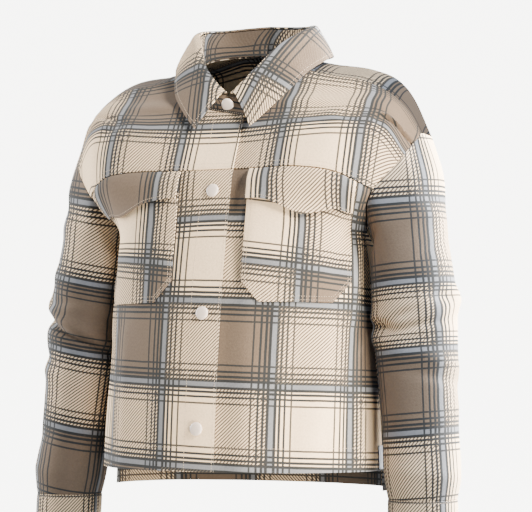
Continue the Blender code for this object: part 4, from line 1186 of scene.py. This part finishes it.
def sleeve_grid(side):
    """The sleeve in the wearer's left place, cuff seam first and armhole last."""
    angles, shares = RING_ANGLES, np.linspace(1.0, 0.0, SLEEVE_RINGS)
    inner = np.maximum(-np.cos(np.radians(angles)), 0)[:, None]
    outer = np.maximum(np.cos(np.radians(angles)), 0)[:, None]
    hole = armhole(angles) + SEAM_GAP * ARMHOLE_OUTWARD + inner * ARMPIT_CLEAR * SIDEWAYS
    rings = [ellipse(angles, *row[1:]) for row in SLEEVE]
    head = hole * (1 - HEAD_BLEND) + rings[0] * HEAD_BLEND
    head = head + outer * HEAD_SWELL * HEAD_OUTWARD + inner * HEAD_CLEAR * SIDEWAYS
    knots = [0.0, HEAD_SHARE] + [row[0] for row in SLEEVE]
    stack = np.array([hole, head] + rings)
    if side == "left":
        for i, share in enumerate(knots):
            stack[i, :, 2] += LEFT_SLEEVE_RISE * max(0.0, (share - RISE_START) / (1 - RISE_START))
    grid = hermite(knots, stack, shares)
    normals = grid_normals(grid, closed=True)
    for i, share in enumerate(shares):
        ends = ease(share / HEAD_FADE) * ease((1 - share) / CUFF_FADE)
        rise = fold_height(ELBOW_FOLDS[side], share, angles)
        rise = rise + ends * fold_height(FINE_FOLDS[side], share, angles)
        grid[i] += normals[i] * rise[:, None]
    return grid


def round_arm(grid, side):
    """The distance round the arm of each point, from the sleeve's band, by its angle round the arm's line."""
    line_z, line_x, line_y = zip(*ARM_LINE)
    x = grid[..., 0] - np.interp(grid[..., 2], line_z, line_x)
    y = grid[..., 1] - np.interp(grid[..., 2], line_z, line_y)
    turn = np.degrees(np.arctan2(y, x))
    turn = np.where(turn < -180 + 1e-6, turn + 360, turn)
    turn = np.unwrap(np.radians(turn), axis=1)
    outer = grid.shape[1] // 4 * 2          # the column on the outer side of the arm
    turn = turn - math.tau * np.round(turn[:, outer : outer + 1] / math.tau)
    run = (turn - math.radians(SLEEVE_BAND[side])) * SLEEVE_RADIUS[side]
    return run if side == "left" else BLOCK - run


def sleeve(side):
    """One sleeve, from the armhole to the cuff."""
    grid = sleeve_grid(side)
    middle = grid[..., 0].mean(axis=1, keepdims=True)
    level = grid[..., 2] - SLEEVE_TILT[side] * (grid[..., 0] - middle)
    v = np.interp(level, *zip(*SLEEVE_CROSS[side])) * BLOCK
    u = round_arm(grid, side)
    if side == "right":
        grid = settle(grid * MIRROR)
    grid, u, v = (facing_side(x, side) for x in (grid, u, v))
    return add_cloth("sleeve_" + side, grid, u, v, closed=True)


for side in SIDES:
    sleeve(side)
show_flat("sleeve")

# %% [markdown]
# ## The cuffs
#
# A cuff is a plain band in two layers, so it is thicker than the sleeve and holds its oval. It could be
# the end of the sleeve's own sheet, with more thickness there. A band of its own keeps its edge crisp
# and takes its own rows of stitches. It joins two ovals, the sleeve's last one and its own mouth.

# %% Cuffs
CUFF_WALL = 0.0030
CUFF_ROWS = 16
CUFF_SWELL = 0.0012         # how far its middle stands out
CUFF_CROSS = 0.030          # the check's place at its lower edge


def cuff(side):
    """The band at the end of one sleeve."""
    _, x, y, z, across, fore, _ = SLEEVE[-1]
    if side == "left":
        z += LEFT_SLEEVE_RISE
    end_x, end_y, end_across, end_fore = CUFF_END
    top = ellipse(RING_ANGLES, x, y, z - SEAM_GAP, across, fore)
    low = ellipse(RING_ANGLES, end_x, end_y, z - CUFF_LENGTH, end_across, end_fore)
    share = np.linspace(0, 1, CUFF_ROWS)[:, None, None]
    grid = low * (1 - share) + top * share
    grid = grid + grid_normals(grid, closed=True) * CUFF_SWELL * np.sin(np.pi * share) ** 0.5
    u = round_arm(grid, side)
    v = np.tile(CUFF_CROSS + CUFF_LENGTH * share[..., 0], (1, len(RING_ANGLES)))
    if side == "right":
        grid = grid * MIRROR
    grid, u, v = (facing_side(x, side) for x in (grid, u, v))
    lines = [stitch_line(grid, edge, EDGE_ROW, closed=True) for edge in "BT"]
    return add_cloth("cuff_" + side, grid, u, v, closed=True, thick=CUFF_WALL, lines=lines)


for side in SIDES:
    cuff(side)
show_flat("cuff")

# %% [markdown]
# ## The collar
#
# The collar has two parts. The stand is sewn to the neckline and rises from it. The fall starts at
# the stand's upper edge, turns over and comes down to the two points. A collar can be pulled out of a
# neckline edge by edge, but its roll is hard to keep even that way. Here both parts are laid out along
# the neckline by their share of it, from 0 at the centre front to 1 at the centre back, and a table
# says where the fold and the outer edge run.

# %% Neckline
COLLAR = (
    # share of the neckline, the fold line there, the outer edge there
    (0.00, (0.0020, -0.0520, -0.0420), (0.0430, -0.0750, -0.0910)),
    (0.17, (0.0200, -0.0500, -0.0260), (0.0660, -0.0630, -0.0680)),
    (0.33, (0.0380, -0.0420, -0.0060), (0.0880, -0.0460, -0.0420)),
    (0.52, (0.0610, -0.0130, 0.0280), (0.1060, -0.0130, -0.0110)),
    (0.73, (0.0830, 0.0350, 0.0570), (0.1180, 0.0380, 0.0130)),
    (0.87, (0.0580, 0.0680, 0.0620), (0.0880, 0.0760, 0.0140)),
    (1.00, (0.0000, 0.0790, 0.0660), (0.0000, 0.0870, 0.0130)),
)
STAND_LEAN = 1.75           # the under end of the stand leans in by this many underlap steps
STAND_DROP = 0.0062         # the stand ends this far below the fold line


def neckline(left):
    """Dense neckline points of one side from the front edge to the centre back, and their shares."""
    front = FRONT.points(np.zeros(90), np.linspace(FRONT_NECK, FRONT_TOP_END, 90))
    back_side = BACK.points(np.zeros(90), np.linspace(BACK_TOP_END, BACK_NECK, 90))
    points = np.concatenate([front, back_side[1:]])
    points = underlap(points) if left else points
    run = length_along(points)
    return points, (run - LAP) / (run[-1] - LAP)


def resample(points, shares, places):
    """Points at places, between the dense ones."""
    return np.stack([np.interp(places, shares, points[:, k]) for k in range(3)], axis=1)


print("neckline, one side:", round(float(length_along(neckline(False)[0])[-1]), 3))

# %% Collar stand
STAND_COLUMNS, STAND_ROWS = 70, 14
STAND_START = (-0.14, (-0.0290, -0.0525, -0.0445))      # the fold line's row at the stand's front end
STAND_BAND = 0.270          # a band's distance from the front end
STAND_CROSS = 0.008         # the check's place at its foot
STAND_TUCK = 0.0004         # the stand's foot is tucked in at the neckline, so that no light comes through
STAND_REACH = 0.0014        # its top goes up further than the solid's, close under the fall


def stand_half(left):
    """One half of the stand, from its front end to the centre back."""
    points, shares = neckline(left)
    places = np.linspace(shares[0], 1.0, STAND_COLUMNS)
    table = [STAND_START] + [row[:2] for row in COLLAR]
    fold = hermite([r[0] for r in table], [r[1] for r in table], places)
    top = fold - np.array([0, 0, STAND_DROP - STAND_REACH])
    fade = ease((LAP_END - fold[:, 0]) / LAP_FADE) * (fold[:, 1] < 0)
    top[:, 1] += STAND_LEAN * (UNDERLAP_STEP if left else 0.0) * fade
    foot = resample(points, shares, places) - np.array([0, 0, STAND_TUCK])
    share = np.linspace(0, 1, STAND_ROWS)[:, None, None]
    return foot * (1 - share) + top * share


def stand():
    """The stand, its left end under its right one."""
    left, right = stand_half(True), stand_half(False)
    grid = settle(np.concatenate([left, (right[:, ::-1] * MIRROR)[:, 1:]], axis=1))
    u = run_along(grid) - STAND_BAND + BLOCK
    v = run_along(grid, 0) + STAND_CROSS + BLOCK
    return add_cloth("collar_stand", grid, u, v, lines=[stitch_line(grid, "B", SEAM_ROW)])


stand()
show_flat("collar_stand")

# %% Collar fall
FALL_ROLL = (
    # row place from the outer edge to the fold, share of the way from the fold, swell outwards, rise
    (0.00, 1.00, 0.0000, 0.0), (0.20, 0.80, 0.0030, 0.0), (0.48, 0.52, 0.0060, 0.0),
    (0.73, 0.27, 0.0078, 0.0), (0.94, 0.00, 0.0062, 0.0002), (1.00, 0.00, 0.0000, 0.0),
)
FALL_WALL = 0.0026
COLLAR_ROW = 0.005          # how far the collar's stitches are from its edge
FALL_PLACES = rows_of(0.0, (0.73, 26), (1.0, 22))
FALL_COLUMNS = rows_of(0.0, (1.0, 60))
FALL_CHECK = {
    "left": ((0.2066, -0.0639), -22.3, 0.0), "right": ((0.1928, -0.0745), -3.6, BLOCK),
}


def unroll(fold, edge):
    """Lays a ruled strip flat, ruling by ruling: flat places of its fold and edge points."""
    length = np.linalg.norm
    flat_fold, flat_edge = [np.zeros(2)], [np.array([0.0, length(edge[0] - fold[0])])]
    for j in range(1, len(fold)):
        ends = []
        for target in (fold[j], edge[j]):
            base = flat_edge[-1] - flat_fold[-1]
            span = length(base)
            near, far = length(target - fold[j - 1]), length(target - edge[j - 1])
            along = (near**2 - far**2 + span**2) / (2 * span)
            off = math.sqrt(max(near**2 - along**2, 0.0))
            ends.append(flat_fold[-1] + base / span * along + np.array([base[1], -base[0]]) / span * off)
        flat_fold.append(ends[0])
        flat_edge.append(ends[1])
    return np.array(flat_fold), np.array(flat_edge)


def fall_half():
    """The wearer's left half of the fall, outer edge first."""
    keys = [r[0] for r in COLLAR]
    fold = hermite(keys, [r[1] for r in COLLAR], FALL_COLUMNS)
    edge = hermite(keys, [r[2] for r in COLLAR], FALL_COLUMNS)
    out = edge - fold
    out[:, 2] = 0
    out /= np.linalg.norm(out, axis=1, keepdims=True)
    up = np.array([0.0, 0.0, 1.0])
    rows = []
    for _, share, swell, rise in FALL_ROLL:
        rows.append(fold + (edge - fold) * share + out * swell + up * rise)
    return hermite([r[0] for r in FALL_ROLL], np.array(rows), FALL_PLACES)


def fall_check(half, side):
    """The check's coordinates on one half of the fall, which was cut as a flat piece."""
    fold, edge = unroll(half[-1, ::-1], half[0, ::-1])
    down = run_along(half, 0)
    down = 1 - down / down[-1]
    flat = fold[None, ::-1] + (edge - fold)[None, ::-1] * down[..., None]
    cross, turn, block = FALL_CHECK[side]
    turn = math.radians(turn)
    away = flat - np.array(cross)
    u = away @ np.array([math.cos(turn), math.sin(turn)]) + block
    v = away @ np.array([-math.sin(turn), math.cos(turn)]) + BLOCK
    return u, v


def fall():
    """The fall, its two halves joined at the centre back."""
    half = fall_half()
    grid = settle(np.concatenate([half, half[:, ::-1] * MIRROR], axis=1))
    (left_u, left_v), (right_u, right_v) = (fall_check(half, side) for side in SIDES)
    u = np.concatenate([left_u, right_u[:, ::-1]], axis=1)
    v = np.concatenate([left_v, right_v[:, ::-1]], axis=1)
    middle = half.shape[1]
    edges = ((grid, "B"), (grid[:, :middle], "L"), (grid[:, middle:], "R"))
    lines = [stitch_line(part, edge, COLLAR_ROW) for part, edge in edges]
    return add_cloth("collar_fall", grid, u, v, thick=FALL_WALL, lines=lines,
                     drop_column=[middle - 1, middle])


fall()
show_flat("collar_fall")

# %% [markdown]
# ## Pockets and flaps
#
# A patch pocket lies on the front that it is sewn to. Blender's Shrinkwrap modifier could press a flat
# pocket on it. Here its points are simply the front's own, moved out by its thickness, so it can't sink
# in anywhere. The flap hangs over its mouth from the chest seam, and its lower edge drops to a blunt
# point.

# %% Patch pockets
POCKET_BOTTOM, POCKET_TOP = 0.229, 0.384
POCKET_INNER, POCKET_OUTER = 0.079, 0.234
POCKET_CORNER = 0.028       # how much its lower corners are cut off
POCKET_ROWS = 40
POCKET_LIFT, POCKET_WALL = 0.0006, 0.0018
POCKET_CHECK = {
    # a band's distance from the front edge, and up from the hem
    "left": (0.158, 0.277), "right": (0.120, 0.286),
}
POCKET_SLOPE = {"left": 0.095, "right": -0.12}      # each was cut a little off the straight of the cloth
POCKET_COLUMNS = rows_of(
    POCKET_INNER, (POCKET_INNER + POCKET_CORNER, 8), (POCKET_OUTER - POCKET_CORNER, 26), (POCKET_OUTER, 8)
)


def panel_points(side, distance, height, lift):
    """Points that far from the front edge and up the cloth, moved out by lift."""
    across = FRONT.across_at(distance.ravel(), height.ravel()).reshape(distance.shape)
    return front_points(side, across, height, lift)


def pocket_low(distance):
    """The lowest height of the pocket at that distance, with its two corners cut off."""
    inner = np.clip(1 - (distance - POCKET_INNER) / POCKET_CORNER, 0, 1)
    outer = np.clip(1 - (POCKET_OUTER - distance) / POCKET_CORNER, 0, 1)
    return POCKET_BOTTOM + POCKET_CORNER * np.maximum(inner, outer)


def pocket(side):
    """A patch pocket with bevelled lower corners."""
    share = np.linspace(0, 1, POCKET_ROWS)[:, None]
    low = pocket_low(POCKET_COLUMNS)[None]
    height = low + (POCKET_TOP - low) * share
    distance = np.tile(POCKET_COLUMNS, (POCKET_ROWS, 1))
    grid = panel_points(side, distance, height, POCKET_LIFT + POCKET_WALL)
    band_u, band_v = POCKET_CHECK[side]
    u = distance - band_u + BLOCK if side == "left" else -(distance - band_u) + BLOCK
    v = height - band_v + POCKET_SLOPE[side] * (distance - band_u)
    grid, u, v = (facing_side(x, side) for x in (grid, u, v))
    lines = [stitch_line(grid, edge, inset) for edge in "BLR" for inset in (EDGE_ROW, SECOND_ROW)]
    return add_cloth("pocket_" + side, grid, u, v,
                     lines=lines, thick=POCKET_WALL, bevel=0.0005)


for side in SIDES:
    pocket(side)
show_flat("pocket")

# %% Flaps
FLAP_KNOTS = (0.079, 0.107, 0.1315, 0.1565, 0.1815, 0.206, 0.234)
FLAP_DEPTHS = {
    "left": (0.0430, 0.0435, 0.0525, 0.0600, 0.0525, 0.0435, 0.0430),
    "right": (0.0400, 0.0400, 0.0430, 0.0500, 0.0530, 0.0460, 0.0400),      # pulled up towards the arm
}
FLAP_TOP = 0.0012           # how far below the chest seam its upper edge is
FLAP_ROW = 0.004
FLAP_ROWS, FLAP_COLUMNS = 22, 46
FLAP_SHARES = (0.0, 0.34, 0.48, 0.72, 1.0)              # of the way down, and how far it stands off there
FLAP_LIFTS = (0.0003, 0.0044, 0.0052, 0.0058, 0.0064)
FLAP_PRESSED, FLAP_LOW = (0.190, 0.230), 0.0030      # beside the arm the flap lies close to its pocket
FLAP_WALL = 0.0022
FLAP_CHECK = {"left": (0.106, 0.085), "right": (0.112, 0.085 + BLOCK)}


def flap(side):
    """The flap over one pocket."""
    distance = np.linspace(POCKET_INNER, POCKET_OUTER, FLAP_COLUMNS)
    depth = hermite(FLAP_KNOTS, FLAP_DEPTHS[side], distance)[None]
    share = np.linspace(1, 0, FLAP_ROWS)[:, None]
    height = FRONT_YOKE - FLAP_TOP - (depth - FLAP_TOP) * share
    distance = np.tile(distance, (FLAP_ROWS, 1))
    lift = np.broadcast_to(np.interp(share, FLAP_SHARES, FLAP_LIFTS), height.shape)
    by_the_arm = np.interp(distance, FLAP_PRESSED, (0.0, 1.0))
    lift = lift + (np.minimum(lift, FLAP_LOW) - lift) * by_the_arm
    grid = panel_points(side, distance, height, lift + FLAP_WALL)
    band_u, band_v = FLAP_CHECK[side]
    u = distance - band_u + BLOCK if side == "left" else -(distance - band_u)
    v = height - FRONT_YOKE + band_v
    grid, u, v = (facing_side(x, side) for x in (grid, u, v))
    lines = [stitch_line(grid, edge, FLAP_ROW) for edge in "BLR"]
    return add_cloth("flap_" + side, grid, u, v, lines=lines, thick=FLAP_WALL)


for side in SIDES:
    flap(side)
show_flat("flap")

# %% [markdown]
# ## Snaps and label
#
# A snap's cap is a shallow dome, held by prongs behind the cloth. A squashed ball would be too round at
# the rim, so it is turned like a pot: its half outline is spun round its axis. Three lie on the right
# front, on the line where the two fronts overlap. The fourth lies on the stand, in the place that the
# frame keeps for it.

# %% Snaps
SNAP_RADIUS, SNAP_HEIGHT = 0.0092, 0.0034
SNAP_OUTLINE = (
    # shares of its radius and of its height, from the middle to the rim
    (0.0, 1.0), (0.30, 0.985), (0.55, 0.93), (0.76, 0.82),
    (0.90, 0.64), (0.975, 0.42), (1.0, 0.20), (1.0, 0.0),
)
SNAP_HEIGHTS = (0.382, 0.214, 0.057)                    # up the cloth, for snaps 2 to 4
SNAP_1_NORMAL = Vector((0.0, -0.92, -0.38)).normalized()
SNAP_DARK, SNAP_PALE = (0.58, 0.46, 0.37, 1.0), (0.66, 0.53, 0.43, 1.0)
RIM_ANGLE = math.radians(50)


def snap_finish():
    """A smooth cap in a pale and slightly uneven tan."""
    graph = Graph("snap_cap")
    place = graph.node("ShaderNodeTexCoord").outputs["Object"]
    cloud = graph.noise(place, 140.0, 3.0)
    graph.set(base_color=graph.mix(cloud, SNAP_DARK, SNAP_PALE), coat_weight=0.15,
              roughness=graph.add(graph.times(cloud, 0.15), 0.28))
    return graph.material


SNAP_FINISH = snap_finish()


def snap(name, place, normal):
    """A domed cap on the cloth at place."""
    bm = bmesh.new()
    outline = []
    for share, height in SNAP_OUTLINE:
        outline.append(bm.verts.new((share * SNAP_RADIUS, 0, height * SNAP_HEIGHT)))
    edges = [bm.edges.new(pair) for pair in zip(outline, outline[1:])]
    bmesh.ops.spin(bm, geom=outline + edges, cent=(0, 0, 0), axis=(0, 0, 1), angle=math.tau, steps=48,
                   use_merge=True)
    bmesh.ops.remove_doubles(bm, verts=bm.verts, dist=1e-6)
    bmesh.ops.holes_fill(bm, edges=[edge for edge in bm.edges if edge.is_boundary])
    bmesh.ops.recalc_face_normals(bm, faces=bm.faces)
    turn = Vector(normal).to_track_quat("Z", "Y").to_matrix().to_4x4()
    seat = Vector(place) + Vector(normal) * SEAM_GAP
    bmesh.ops.transform(bm, verts=bm.verts, matrix=Matrix.Translation(seat) @ turn)
    piece = new_piece(name + "_cap", bm, SNAP_FINISH)
    piece.data.set_sharp_from_angle(angle=RIM_ANGLE)
    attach(piece, "root")
    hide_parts(name)
    return piece


centre = float(FRONT.across_at(np.array([LAP]), np.array([FRONT_YOKE]))[0])
for number, height in enumerate(SNAP_HEIGHTS, 2):
    spots = front_points("right", np.full(3, centre), np.array([height, height - 0.01, height + 0.01]))
    rise = spots[2] - spots[1]
    normal = np.array([0.0, -rise[2], rise[1]])
    snap("snap_%d" % number, spots[0], normal / np.linalg.norm(normal))
low, high = (Vector(corner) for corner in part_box("snap_1"))
stand_place = (low + high) / 2
snap("snap_1", stand_place - SNAP_1_NORMAL * SNAP_HEIGHT / 2, SNAP_1_NORMAL)
print("middle of the stand's snap:", tuple(round(value, 4) for value in stand_place))

# %% [markdown]
# The label is a folded tape, sewn in at the side seam by the hem. It is left bare. It could be a picture
# on a plane, but at this size its soft sheen and its thin edge are all that shows, and a small sheet
# with a faint weave has both.

# %% Label
LABEL_UP, LABEL_ROUND = (0.06, 0.96), (0.60, 0.97)      # shares of a small patch at the side seam
LABEL_TOP = 0.035           # height of that patch's upper end
LABEL_WALL = 0.0010
TAPE_DARK, TAPE_PALE = (0.085, 0.087, 0.097, 1.0), (0.115, 0.117, 0.13, 1.0)


def label_finish():
    """Dark satin tape."""
    graph = Graph("label_tape")
    weave = graph.noise(graph.cloth_place(), 1500.0)
    graph.set(base_color=graph.mix(weave, TAPE_DARK, TAPE_PALE), roughness=0.45)
    return graph.material


def label():
    """A bare woven tape beside the wearer's left side seam."""
    inner = float(FRONT.across_at(np.array([POCKET_OUTER]), np.array([0.0]))[0])
    inner = inner + (1 - inner) * 2 / 3
    ends = [inner + (1 - inner) * share for share in LABEL_ROUND]
    across, height = np.meshgrid(np.linspace(*ends, 8), LABEL_TOP * np.linspace(*LABEL_UP, 18))
    grid = front_points("left", across, height, SEAM_GAP + LABEL_WALL)
    tape = sheet_mesh(grid, run_along(grid), run_along(grid, 0))
    piece = cloth_object("label", tape, label_finish(), thick=LABEL_WALL, bevel=0.0003)
    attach(piece, "root")
    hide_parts("label")
    return piece


label()

# %% [markdown] ## The end
